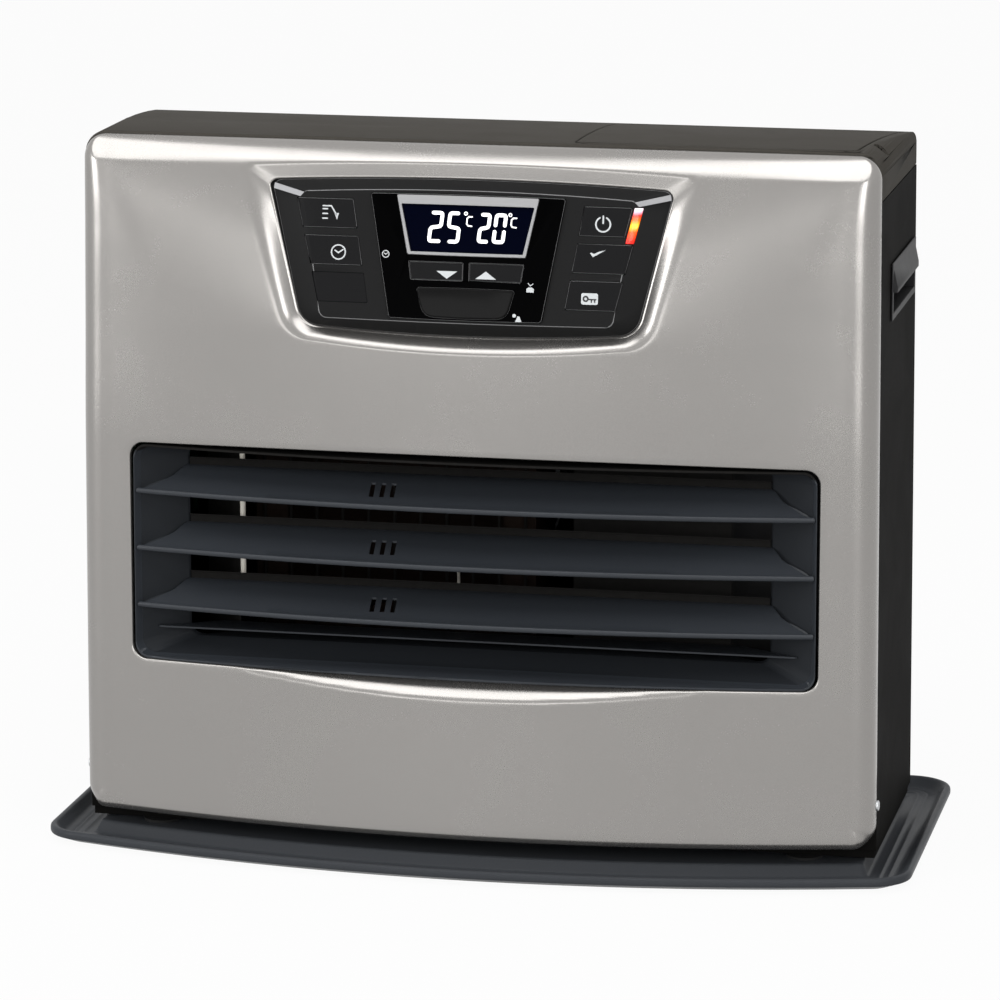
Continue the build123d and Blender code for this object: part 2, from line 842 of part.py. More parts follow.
def display_housing():
    """Glossy centre block that holds display, keys and motion window."""
    top = housing_top_w()
    body = on_panel(housing_outline(), top - housing_thick, top)
    g = clearance
    body = body - on_panel(display_outline(0.1), top - 1.2, top + 1)
    body = body - on_panel(screen_outline(), 0, top + 1)
    for side in (-1, 1):
        body = body - on_panel(key_outline(side, g), 0, top + 1)
    body = body - on_panel(window_outline(0.1), 0, top + 1)
    for sx in (-1, 1):
        for x, v in ((50.0, 30.0), (44.0, -20.0)):
            foot = Pos(sx * x, v) * Circle(2.5)
            body = body + on_panel(foot, board_back + board_thick, top - 1.0)
    return body


def display_frame():
    """Silver frame round the display."""
    top = housing_top_w()
    return on_panel(display_outline(), top - 1.2, top + 0.3) - on_panel(screen_outline(), 0, top + 2)


def display_panel():
    """Liquid crystal display behind its frame."""
    top = housing_top_w()
    glass = on_panel(screen_outline(-0.1), top - 1.0 - 2.6, top - 1.0)
    legs = on_panel(Rectangle(52.0, 3.0).moved(Location((0, 12.0))), board_back + board_thick, top - 3.4)
    return glass + legs


def panel_key(side):
    """Down or up key under the display."""
    top = housing_top_w() - 0.3
    cap = on_panel(key_outline(side), top - 4.0, top)
    x = side * (keys_split + keys_half) / 2
    v = (keys_top + keys_low) / 2
    stem = on_panel(Pos(x, v) * Circle(1.8), board_back + board_thick + 1.2 + button_travel, top - 3.0)
    return cap + stem


def motion_window():
    """Dark translucent window, a little proud and rounded."""
    top = housing_top_w() + 1.2
    body = on_panel(window_outline(), top - 4.2, top)
    n = panel_place().z_dir
    front = body.faces().sort_by(lambda f: f.center().dot(n))[-1]
    return fillet(front.edges(), 1.0)


def control_board():
    """Printed circuit board with its switches and the motion sensor."""
    outline = panel_outline(bezel_top_half - 10, bezel_low_half - 10, bezel_top - 6, bezel_low + 4,
                            0.5, 0.5, 3.0, 8.0)
    board = on_panel(outline, board_back, board_back + board_thick)
    for side in (-1, 1):
        for row in range(3):
            if (side, row) == (-1, 2):
                continue
            u = button_outline(side, row).center()
            switch = Pos(u.X, u.Y) * Rectangle(6.0, 6.0)
            board = board + on_panel(switch, board_back + board_thick, board_back + board_thick + 0.8)
        x = side * (keys_split + keys_half) / 2
        v = (keys_top + keys_low) / 2
        switch = Pos(x, v) * Rectangle(6.0, 6.0)
        board = board + on_panel(switch, board_back + board_thick, board_back + board_thick + 0.8)
    sensor = Pos(0, (window_top + window_low) / 2) * Circle(4.6)
    return board + on_panel(sensor, board_back + board_thick, housing_top_w() - 3.4)


def tray_outline(inset):
    """Drip tray seen from above, its front bowed."""
    r = (tray_bow_half ** 2 + tray_bow ** 2) / (2 * tray_bow)
    h = tray_half - inset
    front = y_at(-tray_front) + inset
    rear = y_at(tray_rear) - inset
    rr = r - inset
    side_y = front + rr - sqrt(rr ** 2 - h ** 2)
    edges = [
        ThreePointArc((-h, side_y), (0, front), (h, side_y)),
        Line((h, side_y), (h, rear)),
        Line((h, rear), (-h, rear)),
        Line((-h, rear), (-h, side_y)),
    ]
    face = make_face(Wire(edges))
    return fillet(face.vertices(), max(tray_corner_r - inset, 4.0))


def base_tray():
    """Drip tray: dished underside, rolled rim, moat and raised plinth."""
    under = loft([tray_outline(tray_tuck), Pos(0, 0, tray_lip) * tray_outline(1.2)], ruled=True)
    rim = loft([Pos(0, 0, tray_lip) * tray_outline(0.0), Pos(0, 0, tray_height - 1.5) * tray_outline(0.0)],
               ruled=True)
    lip = loft([Pos(0, 0, tray_height - 1.5) * tray_outline(0.0), Pos(0, 0, tray_height) * tray_outline(1.2)],
               ruled=True)
    moat = loft([Pos(0, 0, tray_floor) * tray_outline(tray_rim + 4.0),
                 Pos(0, 0, tray_height + 0.01) * tray_outline(tray_rim - 1.0)], ruled=True)
    plinth = loft([Pos(0, 0, tray_floor) * tray_outline(plinth_inset - 4.0),
                   Pos(0, 0, plinth_z) * tray_outline(plinth_inset)], ruled=True)
    return ((under + rim + lip) - moat) + plinth


def foot_places():
    """The four feet, seen from above."""
    return [(x, d) for x in (-foot_x, foot_x) for d in (foot_front, foot_rear)]


def rubber_feet():
    """Four rubber pads between chassis pan and tray."""
    pads = [rod(x, d, plinth_z, plinth_z + foot_height, foot_r) for x, d in foot_places()]
    return Compound(children=pads)


def pan_floor_z():
    """Underside of the chassis pan."""
    return plinth_z + foot_height


def chassis_pan():
    """Folded steel floor of the heater."""
    h = half_width(pan_floor_z()) - steel - clearance
    z0 = pan_floor_z()
    floor = block(-h, h, 2.0, cabinet_depth - steel - 2 * clearance - steel, z0, z0 + pan_wall)
    outer = block(-h, h, 2.0, cabinet_depth - steel - 2 * clearance - steel, z0, z0 + pan_flange)
    w = pan_wall
    inner = block(-h + w, h - w, 2.0 + w, cabinet_depth - steel - 2 * clearance - steel - w,
                  z0 + w, z0 + pan_flange + 1)
    return floor + (outer - inner)


def pan_top():
    """Height of the chassis floor's upper face."""
    return pan_floor_z() + pan_wall


def gauge_pocket(grow):
    """Recess in the tank's front for the gauge, grown by the tank's wall for its back."""
    h = gauge_w / 2 + clearance + grow
    return block(gauge_x - h, gauge_x + h, tank_front - 1, tank_front + gauge_recess + grow,
                 gauge_low_z - clearance - grow, gauge_high_z + clearance + grow)


def fuel_tank():
    """Lift-out paraffin tank with a neck at its foot and two lugs for the handle."""
    box = block(tank_left, tank_right, tank_front, tank_rear, tank_low_z, tank_high_z)
    box = fillet(box.edges().filter_by(Axis.Z), tank_r)
    cx, cd = tank_centre()
    neck = rod(cx, cd, tank_low_z - 12.0, tank_low_z + 1.0, cap_r - 6.0)
    w = tank_wall
    inside = block(tank_left + w, tank_right - w, tank_front + w, tank_rear - w, tank_low_z + w, tank_high_z - w)
    inside = fillet(inside.edges().filter_by(Axis.Z), tank_r - w) - gauge_pocket(w)
    bore = rod(cx, cd, tank_low_z - 13.0, tank_low_z + 2 * w, cap_r - 6.0 - w)
    tank = (box + neck) - inside - bore - gauge_pocket(0.0)
    for sx in (-1, 1):
        x = cx + sx * (handle_half + 9.0)
        lug = block(x - 2, x + 2, cd - 6, cd + 6, tank_high_z, handle_z() + handle_r + lug_margin)
        tank = tank + lug
        tank = tank - rod_x(x - 3, x + 3, cd, handle_z(), handle_r + 0.05)
    return tank


def tank_centre():
    """Middle of the tank: x, and depth behind the seam."""
    return (tank_left + tank_right) / 2, (tank_front + tank_rear) / 2


def fuel_gauge():
    """Clear strip that shows the fuel level."""
    return block(gauge_x - gauge_w / 2, gauge_x + gauge_w / 2, tank_front + 0.2, tank_front + gauge_recess,
                 gauge_low_z, gauge_high_z)


def handle_z():
    """Height of the handle's pivots."""
    return tank_high_z + handle_r + clearance


def tank_handle():
    """Wire bail that lies flat on the tank and folds up."""
    cx, cd = tank_centre()
    z = handle_z()
    w = handle_half
    pts = [
        (cx - w - 13, y_at(cd), z), (cx - w, y_at(cd), z), (cx - w, y_at(cd - handle_reach), z),
        (cx + w, y_at(cd - handle_reach), z), (cx + w, y_at(cd), z), (cx + w + 13, y_at(cd), z),
    ]
    path = FilletPolyline(*pts, radius=5.0)
    start = Plane(origin=pts[0], z_dir=(1, 0, 0))
    return sweep(start * Circle(handle_r), path=path)


def tank_cap():
    """Bayonet cap with its valve at the tank's foot."""
    cx, cd = tank_centre()
    high = tank_low_z - clearance
    low = high - cap_height
    cap = rod(cx, cd, low, high, cap_r)
    cap = cap - rod(cx, cd, tank_low_z - 12.0 - clearance, high + 1, cap_r - 6.0 + 0.1)
    for k in range(24):
        a = 2 * pi * k / 24
        cap = cap - rod(cx + cap_r * cos(a), cd + cap_r * sin(a), low - 1, high + 1, 1.0)
    return cap + rod(cx, cd, low - 4.0, low, 5.0)


def well_reach():
    """Outer box of the tank well."""
    g = clearance + well_wall
    return tank_left - g, tank_right + g, tank_front - g, tank_rear + g


def tank_well():
    """Open box that the tank drops into."""
    x0, x1, d0, d1 = well_reach()
    w = well_wall
    cx, cd = tank_centre()
    walls = block(x0, x1, d0, d1, sump_high_z, well_rim_z)
    walls = walls - block(x0 + w, x1 - w, d0 + w, d1 - w, sump_high_z - 1, well_rim_z + 1)
    floor = block(x0, x1, d0, d1, tank_low_z - well_floor, tank_low_z)
    floor = floor - rod(cx, cd, 0, 200, cap_r + 1.0)
    return walls + floor


def fuel_sump():
    """Fixed reservoir under the tank, with the valve pin and strainer seat."""
    x0, x1, d0, d1 = well_reach()
    cx, cd = tank_centre()
    body = block(x0, x1, d0, d1, sump_low_z, sump_high_z)
    body = fillet(body.edges().filter_by(Axis.Z), 8.0)
    w = sump_wall
    seat = sump_high_z - sump_cup
    inside = block(x0 + w, x1 - w, d0 + w, d1 - w, sump_low_z + w, sump_high_z - w)
    inside = fillet(inside.edges().filter_by(Axis.Z), 8.0 - w)
    inside = inside - rod(cx, cd, seat - w, sump_high_z, cap_r + 3.0 + w)
    body = body - inside - rod(cx, cd, seat, sump_high_z + 1, cap_r + 3.0)
    body = body - rod(cx + cap_r - 6.0, cd, seat - w - 1, seat + 1, 2.5)
    for x in (x0 + 14, x1 - 14):
        for d in (d0 + 14, d1 - 14):
            body = body + rod(x, d, pan_top(), sump_low_z + 1, 5.0)
    return body


def fuel_strainer():
    """Cup-shaped filter in the sump's mouth, with the pin that opens the valve."""
    cx, cd = tank_centre()
    top = sump_high_z - 1.0
    low = sump_high_z - sump_cup
    cup = rod(cx, cd, low, top, cap_r + 2.5) - rod(cx, cd, low + 2.0, top + 1, cap_r + 1.0)
    pin_top = tank_low_z - clearance - cap_height - 4.0 - clearance
    return cup + rod(cx, cd, low + 1, pin_top, 2.0)


def fuel_pump():
    """Electromagnetic pump that lifts fuel from the sump."""
    body = rod(pump_x, pump_y, pump_high_z - 44.0, pump_high_z, pump_r)
    foot = block(pump_x - 18, pump_x + 18, pump_y - 18, pump_y + 18, pump_high_z - 50.0, pump_high_z - 44.0)
    leg = block(pump_x - 12, pump_x + 12, pump_y - 12, pump_y + 12, pan_top(), pump_high_z - 50.0)
    inlet = rod_x(pump_x, well_reach()[0], pump_y, 58.0, 4.0)
    return body + foot + leg + inlet


def fuel_pipe():
    """Pipe from the pump to the vaporiser pot."""
    z = pump_high_z
    drop_x = burner_x + pot_r + pot_flange + 6.0
    pts = [(pump_x, y_at(pump_y), z), (pump_x, y_at(pump_y), z + 6),
           (drop_x, y_at(burner_y), z + 6), (drop_x, y_at(burner_y), pipe_low_z),
           (burner_x + pot_r, y_at(burner_y), pipe_low_z)]
    route = FilletPolyline(*pts, radius=4.0)
    start = Plane(origin=pts[0], z_dir=(0, 0, 1))
    return sweep(start * Circle(pipe_r), path=route)


def vaporiser_pot():
    """Pot in which the fuel turns to gas."""
    pot = rod(burner_x, burner_y, pot_low_z, pot_high_z, pot_r)
    pot = pot - rod(burner_x, burner_y, pot_low_z + pot_wall, pot_high_z + 1, pot_r - pot_wall)
    flange = rod(burner_x, burner_y, pot_high_z - 3.0, pot_high_z, pot_r + pot_flange)
    flange = flange - rod(burner_x, burner_y, 0, 300, pot_r - pot_wall)
    pot = pot + flange
    for k in range(3):
        a = 2 * pi * k / 3 + 0.5
        pot = pot + rod(burner_x + 24 * cos(a), burner_y + 24 * sin(a), pan_top(), pot_low_z + 1, 4.0)
    return pot


def burner_head():
    """Ring of flame ports on the pot."""
    low = pot_high_z
    head = rod(burner_x, burner_y, low, low + burner_height, burner_r)
    head = head - rod(burner_x, burner_y, low - 1, low + burner_height - 2, burner_r - 3.0)
    base = rod(burner_x, burner_y, low, low + 2, burner_r + 4)
    base = base - rod(burner_x, burner_y, 0, 300, burner_r - 3.0)
    head = head + base
    for k in range(18):
        a = 360.0 * k / 18
        port = Rot(0, 0, a) * (Pos(burner_r - 2, 0, 0) * Box(12, 3, 12))
        head = head - Pos(burner_x, y_at(burner_y), low + 13) * port
    return head


def igniter():
    """Glow igniter beside the burner head."""
    z = pot_high_z
    x = burner_x - burner_r - 10
    post = rod(x, burner_y, z, z + 22.0, 3.0)
    tip = rod_x(x - 1, x + 6, burner_y, z + 18.0, 1.5)
    return post + tip


def flame_rod():
    """Probe that senses the flame."""
    z = pot_high_z
    x = burner_x + burner_r + 9
    post = rod(x, burner_y, z, z + 8.0, 3.2)
    return post + rod(x, burner_y, z + 7, z + 56.0, 1.0)


def combustion_chamber():
    """Steel chamber over the burner, open to the front."""
    x0 = burner_x - chamber_half
    x1 = burner_x + chamber_half
    w = chamber_wall
    low = duct_low_z + steel
    body = block(x0, x1, chamber_front, chamber_rear, low, chamber_top_z)
    body = body - block(x0 + w, x1 - w, chamber_front - 1, chamber_rear - w, low + w, chamber_top_z - w)
    body = body - rod(burner_x, burner_y, 0, low + 2, burner_r + 4 + clearance)
    front = block(x0, x1, chamber_front, chamber_front + w, low, chamber_top_z)
    front = front - block(x0 + 20, x1 - 20, chamber_front - 1, chamber_front + 5, low + 24, chamber_top_z - 50)
    body = body + front
    reach = pot_r + pot_flange
    slot = block(burner_x - reach, burner_x + reach, burner_y - 5, burner_y + 5, low - 1, low + 3)
    return body - slot


def chamber_guard():
    """Upright wires in front of the chamber, on two cross wires."""
    x0 = burner_x - chamber_half + 4
    x1 = burner_x + chamber_half - 4
    low = duct_low_z + 16
    high = chamber_top_z - 40
    depth = chamber_front - guard_wire_r
    count = int((x1 - x0) / guard_pitch)
    cage = rod_x(x0, x1, depth, low + 6, guard_wire_r) + rod_x(x0, x1, depth, high - 6, guard_wire_r)
    for k in range(count + 1):
        x = x0 + 2 + k * (x1 - x0 - 4) / count
        cage = cage + rod(x, depth - 1.2 * guard_wire_r, low, high, guard_wire_r)
    return cage


def air_duct():
    """Box that carries the fan's air round the chamber."""
    w = steel
    body = block(duct_left, duct_right, duct_front, duct_rear, duct_low_z, duct_high_z)
    body = body - block(duct_left + w, duct_right - w, duct_front - 1, duct_rear + 1,
                        duct_low_z + w, duct_high_z - w)
    body = body - rod(burner_x, burner_y, 0, duct_low_z + 5, pot_r + pot_flange + 1)
    back = cabinet_depth - steel - clearance
    t = duct_tab
    for z in (duct_low_z, duct_high_z - t):
        body = body + block(duct_left, duct_left + w, duct_rear - 1, back, z, z + t)
        body = body + block(duct_left, duct_left + t / 2, back - w, back, z, z + t)
        body = body + block(duct_right - w, duct_right, duct_rear - 1, back, z, z + t)
        body = body + block(duct_right - t / 2, duct_right, back - w, back, z, z + t)
    return body


def outlet_funnel():
    """Funnel between the duct and the louvre frame."""
    w = steel
    lo = outlet_low_z + mouth_lift + throat_rise
    hi = outlet_high_z - mouth_drop - 0.4

    def section(depth, x0, x1, z0, z1):
        rect = Pos((x0 + x1) / 2, (z0 + z1) / 2) * Rectangle(x1 - x0, z1 - z0)
        return Pos(0, y_at(depth), 0) * Rot(90, 0, 0) * rect

    t = throat_half + 1.4
    rear = duct_front - clearance
    front = throat_depth + clearance
    outer = loft([section(front, -t - w, t + w, lo - w, hi + w),
                  section(rear, duct_left, duct_right, duct_low_z, duct_high_z)], ruled=True)
    inner = loft([section(front - 0.01, -t, t, lo, hi),
                  section(rear + 0.01, duct_left + w, duct_right - w, duct_low_z + w, duct_high_z - w)],
                 ruled=True)
    return outer - inner


def blower_case():
    """Snail case of the combustion blower, on the chassis."""
    w = blower_wall
    case = rod(blower_x, blower_y, blower_low_z, blower_high_z, blower_r)
    spout = block(blower_x, burner_x - pot_r - clearance, blower_y + 4, blower_y + 34,
                  blower_low_z + 4, blower_high_z)
    hollow = rod(blower_x, blower_y, blower_low_z + w, blower_high_z - w, blower_r - w)
    channel = block(blower_x, burner_x - pot_r + 10, blower_y + 4 + w, blower_y + 34 - w,
                    blower_low_z + 4 + w, blower_high_z - w)
    case = (case + spout) - hollow - channel
    case = case - rod(blower_x, blower_y, blower_high_z - 5, blower_high_z + 5, 20.0)
    case = case - rod(blower_x, blower_y, blower_low_z - 5, blower_low_z + 5, 4.0)
    case = case - rod(burner_x, burner_y, 0, 200, pot_r + clearance)
    for k in range(3):
        a = 2 * pi * k / 3
        case = case + rod(blower_x + 38 * cos(a), blower_y + 38 * sin(a), pan_top(), blower_low_z + 0.5, 4.0)
    return case


def blower_motor():
    """Motor under the blower case, its shaft up into the wheel."""
    body = rod(blower_x, blower_y, pan_top(), blower_low_z - clearance, 24.0)
    return body + rod(blower_x, blower_y, pan_top(), blower_low_z + 22.0, 2.0)


def blower_wheel():
    """Centrifugal wheel with forward blades."""
    low = blower_low_z + blower_wall + 2.0
    disc = rod(blower_x, blower_y, low, low + 2.0, wheel_r)
    hub = rod(blower_x, blower_y, low, low + 12.0, 6.0)
    ring = rod(blower_x, blower_y, low + 24, low + 26, wheel_r) - rod(blower_x, blower_y, 0, 100, wheel_r - 6)
    wheel = disc + hub + ring
    for k in range(wheel_blades):
        a = 360.0 * k / wheel_blades
        blade = Rot(0, 0, a) * (Pos(wheel_r - 4, 0, 13) * Rot(0, 0, 25) * Box(8, 1.2, 24))
        wheel = wheel + Pos(blower_x, y_at(blower_y), low) * blade
    return wheel - rod(blower_x, blower_y, 0, 100, 2.0 + fan_run)


def fan_blade():
    """One pitched blade of the convection fan, about its own hub."""
    span = fan_r - fan_hub_r + 2
    mid = fan_hub_r - 2 + span / 2
    blade = Box(span, 46.0, fan_blade_thick)
    blade = fillet(blade.edges().filter_by(Axis.Z).sort_by(Axis.X)[-2:], 14.0)
    return Pos(mid, 0, 0) * Rot(fan_pitch, 0, 0) * blade


def fan():
    """Convection fan: hub and pitched blades."""
    hub = Cylinder(fan_hub_r, fan_depth)
    body = hub
    for k in range(fan_blades):
        body = body + Rot(0, 0, 360.0 * k / fan_blades) * fan_blade()
    body = body - Cylinder(fan_shaft_r + fan_run, 40)
    return Pos(fan_x, y_at(fan_y + fan_depth / 2), fan_z) * Rot(90, 0, 0) * body


def fan_motor():
    """Motor behind the fan, with the shaft that carries it."""
    y0 = fan_y + fan_depth + 3.0
    body = rod_y(fan_x, fan_z, y0, guard_back() - 2 * guard_wire, motor_r)
    body = fillet(body.edges().filter_by(GeomType.CIRCLE), 3.0)
    return body + rod_y(fan_x, fan_z, fan_y - 2.0, y0 + 3.0, fan_shaft_r)


def guard_back():
    """Rear plane of the fan guard, behind the seam."""
    return cabinet_depth + guard_depth


def guard_ring(radius, depth):
    """One ring of the fan guard, its front at a depth."""
    outer = rod_y(fan_x, fan_z, depth, depth + 2 * guard_wire, radius + guard_wire)
    return outer - rod_y(fan_x, fan_z, depth - 1, depth + 2 * guard_wire + 1, radius - guard_wire)


def fan_guard():
    """Wire guard over the fan, standing out behind the rear cover."""
    w = 2 * guard_wire
    back = guard_back()
    step = (guard_r - motor_r) / guard_rings
    cage = rod_y(fan_x, fan_z, back - w, back, motor_r - 4.0)
    for k in range(guard_rings):
        cage = cage + guard_ring(motor_r + k * step, back - w)
    last = motor_r + (guard_rings - 1) * step
    rim = guard_ring(guard_r, cabinet_depth)
    cage = cage + rim
    for k in range(guard_spokes):
        a = 360.0 * k / guard_spokes + 11
        flat = Pos((guard_r + motor_r) / 2 - 4, 0, 0) * Box(guard_r - motor_r + 8, w, w)
        post = Pos(guard_r, 0, -(guard_depth - w) / 2) * Box(w, w, guard_depth - w)
        spoke = Rot(0, 0, a) * (flat + Pos(0, 0, 0) * post)
        spoke = Pos(fan_x, y_at(back - guard_wire), fan_z) * Rot(90, 0, 0) * Rot(180, 0, 0) * spoke
        cage = cage + spoke
    return cage


def air_filter():
    """Flat mesh frame that clips over the fan guard."""
    d0 = guard_back() + clearance
    d1 = d0 + filter_thick
    h = guard_r - 2.0
    w = filter_wall
    frame = block(fan_x - h, fan_x + h, d0, d1, fan_z - h, fan_z + h)
    frame = frame - block(fan_x - h + 6, fan_x + h - 6, d0 - 1, d1 + 1, fan_z - h + 6, fan_z + h - 6)
    pitch = (2 * h - 12) / (filter_bars + 1)
    for k in range(1, filter_bars + 1):
        x = fan_x - h + 6 + k * pitch
        frame = frame + block(x - w / 2, x + w / 2, d0, d1, fan_z - h + 3, fan_z + h - 3)
        z = fan_z - h + 6 + k * pitch
        frame = frame + block(fan_x - h + 3, fan_x + h - 3, d0, d1, z - w / 2, z + w / 2)
    return frame


def main_board():
    """Power board with its transformer, on the left side panel's inside."""
    h = half_width(200.0)
    x = -h + steel + 6.0
    board = block(x, x + board_thick, 40.0, 130.0, 120.0, 300.0)
    for d in (48.0, 122.0):
        for z in (128.0, 292.0):
            post = Pos((x - half_width(z) + steel + clearance) / 2 + 0.5, y_at(d), z) * Rot(0, 90, 0)
            length = x + 1.0 - (-half_width(z) + steel + clearance)
            board = board + post * Cylinder(3.0, length)
    for k in range(4):
        z = 140.0 + 34.0 * k
        board = board + block(x + board_thick, x + board_thick + 12, 60, 84, z, z + 22)
    coil = block(x + board_thick, x + board_thick + 26, 92, 126, 180, 222)
    return board + coil


def screw(x, z):
    """Pan-head screw in the rear cover, driven from behind."""
    head = rod_y(x, z, cabinet_depth, cabinet_depth + 2.2, 3.6)
    shank = rod_y(x, z, cabinet_depth - steel, cabinet_depth, 1.4)
    slot = block(x - 2.4, x + 2.4, cabinet_depth + 1.4, cabinet_depth + 3, z - 0.4, z + 0.4)
    cross = block(x - 0.4, x + 0.4, cabinet_depth + 1.4, cabinet_depth + 3, z - 2.4, z + 2.4)
    return head - slot - cross


def rear_screws():
    """Screws of the rear cover."""
    places = []
    for side in (-1, 1):
        for z in (30.0, 160.0, 290.0, 396.0):
            places.append((side * (half_width(z) - 8.0), z))
    return Compound(children=[screw(x, z) for x, z in places])


def panel_screws():
    """Side screws that hold the silver front, in its two notches."""
    solids = []
    for side in (-1, 1):
        x = half_width(screw_z)
        head = Pos(side * (x + 0.95), y_at(0.8), screw_z) * Rot(0, 90, 0) * Cylinder(3.2, 1.8)
        solids.append(head)
    return Compound(children=solids)


def build():
    """Every sub-part by name."""
    parts = {
        "base_tray": base_tray(),
        "rubber_feet": rubber_feet(),
        "chassis_pan": chassis_pan(),
        "front_panel": front_panel(),
        "side_panel_left": side_panel(-1),
        "side_panel_right": side_panel(1),
        "top_cover": top_cover(),
        "tank_lid": tank_lid(),
        "lid_hinge_pin": lid_hinge_pin(),
        "rear_cover": rear_cover(),
        "cord_gland": cord_gland(),
        "side_handle_left": side_handle(-1),
        "side_handle_right": side_handle(1),
        "louvre_frame": louvre_frame(),
        "lower_blade": lower_blade(),
        "control_bezel": control_bezel(),
        "display_housing": display_housing(),
        "display_frame": display_frame(),
        "display_panel": display_panel(),
        "button_mode": panel_button(-1, 0),
        "button_clock": panel_button(-1, 1),
        "blank_plate": blank_plate(),
        "button_power": panel_button(1, 0),
        "button_tick": panel_button(1, 1),
        "button_lock": panel_button(1, 2),
        "key_down": panel_key(-1),
        "key_up": panel_key(1),
        "light_bar": light_bar(),
        "motion_window": motion_window(),
        "control_board": control_board(),
        "fuel_tank": fuel_tank(),
        "fuel_gauge": fuel_gauge(),
        "tank_handle": tank_handle(),
        "tank_cap": tank_cap(),
        "tank_well": tank_well(),
        "fuel_sump": fuel_sump(),
        "fuel_strainer": fuel_strainer(),
        "fuel_pump": fuel_pump(),
        "fuel_pipe": fuel_pipe(),
        "vaporiser_pot": vaporiser_pot(),
        "burner_head": burner_head(),
        "igniter": igniter(),
        "flame_rod": flame_rod(),
        "combustion_chamber": combustion_chamber(),
        "chamber_guard": chamber_guard(),
        "air_duct": air_duct(),
        "outlet_funnel": outlet_funnel(),
        "blower_case": blower_case(),
        "blower_motor": blower_motor(),
        "blower_wheel": blower_wheel(),
        "fan": fan(),
        "fan_motor": fan_motor(),
        "fan_guard": fan_guard(),
        "air_filter": air_filter(),
        "main_board": main_board(),
        "rear_screws": rear_screws(),
        "panel_screws": panel_screws(),
    }
    for k in range(slat_count):
        parts[f"louvre_slat_{k + 1}"] = louvre_slat(k)
    return parts


parts = build()
os.makedirs("parts", exist_ok=True)
for name, shape in parts.items():
    export_step(shape, f"parts/{name}.step")
print(len(parts), "nodes")
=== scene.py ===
# %% [markdown]
# # A paraffin fan heater
#
# The heater is a steel cabinet with a bowed silver front, a dished control
# panel, a louvred warm-air outlet and a drip tray under it. The CAD model fixes
# every size. This lesson loads it, gives its parts their finishes, and makes
# again, with finer shapes, the pieces that the eye rests on.

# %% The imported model
import math
import bmesh
import bpy
import numpy as np
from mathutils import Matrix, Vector
from mathutils.geometry import delaunay_2d_cdt


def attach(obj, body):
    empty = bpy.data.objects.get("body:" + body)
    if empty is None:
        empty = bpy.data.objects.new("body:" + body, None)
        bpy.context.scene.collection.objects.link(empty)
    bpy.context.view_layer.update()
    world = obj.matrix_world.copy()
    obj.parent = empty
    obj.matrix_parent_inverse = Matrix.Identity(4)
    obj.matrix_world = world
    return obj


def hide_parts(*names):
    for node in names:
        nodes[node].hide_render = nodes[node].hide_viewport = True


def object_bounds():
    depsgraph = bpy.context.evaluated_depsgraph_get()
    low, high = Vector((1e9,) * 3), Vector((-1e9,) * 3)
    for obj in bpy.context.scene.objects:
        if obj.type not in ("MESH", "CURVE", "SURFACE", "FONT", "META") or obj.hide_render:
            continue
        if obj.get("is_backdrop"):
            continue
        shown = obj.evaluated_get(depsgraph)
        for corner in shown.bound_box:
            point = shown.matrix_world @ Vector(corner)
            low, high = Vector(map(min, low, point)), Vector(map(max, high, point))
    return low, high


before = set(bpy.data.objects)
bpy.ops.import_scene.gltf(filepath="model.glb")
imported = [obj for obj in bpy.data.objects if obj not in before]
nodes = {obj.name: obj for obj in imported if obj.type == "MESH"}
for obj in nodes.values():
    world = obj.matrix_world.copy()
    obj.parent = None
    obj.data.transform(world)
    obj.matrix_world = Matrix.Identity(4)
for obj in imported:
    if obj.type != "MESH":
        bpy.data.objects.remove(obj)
scene = bpy.context.scene
scene.view_settings.view_transform = "Standard"
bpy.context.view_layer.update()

# %% [markdown]
# ## The camera
#
# A product photographer stands about three metres away with a long lens, a
# little to the right and a little above, so that the upright edges stay nearly
# parallel. A 183 mm lens from the same place gives the same picture.

# %% Camera
def put(name, data):
    """A new object in the scene."""
    made = bpy.data.objects.new(name, data)
    scene.collection.objects.link(made)
    return made


eye = put("camera", bpy.data.cameras.new("camera"))
eye.data.lens = 183.3
eye.data.sensor_width = 36.0
eye.data.clip_end = 50.0
eye.location = (0.6275, -2.9876, 0.8692)
eye.rotation_euler = (math.radians(77.75), 0.0, math.radians(11.88))
scene.camera = eye
print("camera to origin:", round(eye.location.length, 3), "m")

# %% [markdown]
# ## Making a mesh from millimetres
#
# The CAD model counts in millimetres and Blender in metres. Every shape below
# is worked out in millimetres and scaled once, where its mesh is made. The
# object itself stays at the origin, so that a pattern drawn in object
# coordinates sits still on it.

# %% From points to a piece
MM = 0.001  # metres
WELD = 2e-6  # metres; points nearer than this are one


def new_piece(name, points, faces, *finishes, smooth=True):
    """An object whose points are given in millimetres."""
    mesh = bpy.data.meshes.new(name)
    mesh.from_pydata([(x * MM, y * MM, z * MM) for x, y, z in points], [], faces)
    for finish in finishes:
        mesh.materials.append(finish)
    mesh.polygons.foreach_set("use_smooth", [smooth] * len(mesh.polygons))
    return put(name, mesh)


def tidy_normals(piece, sharp=None):
    """Merge doubles, turn every face outwards and keep hard edges hard."""
    work = bmesh.new()
    work.from_mesh(piece.data)
    bmesh.ops.remove_doubles(work, verts=work.verts, dist=WELD)
    bmesh.ops.recalc_face_normals(work, faces=work.faces)
    work.to_mesh(piece.data)
    work.free()
    if sharp is not None:
        piece.data.set_sharp_from_angle(angle=math.radians(sharp))


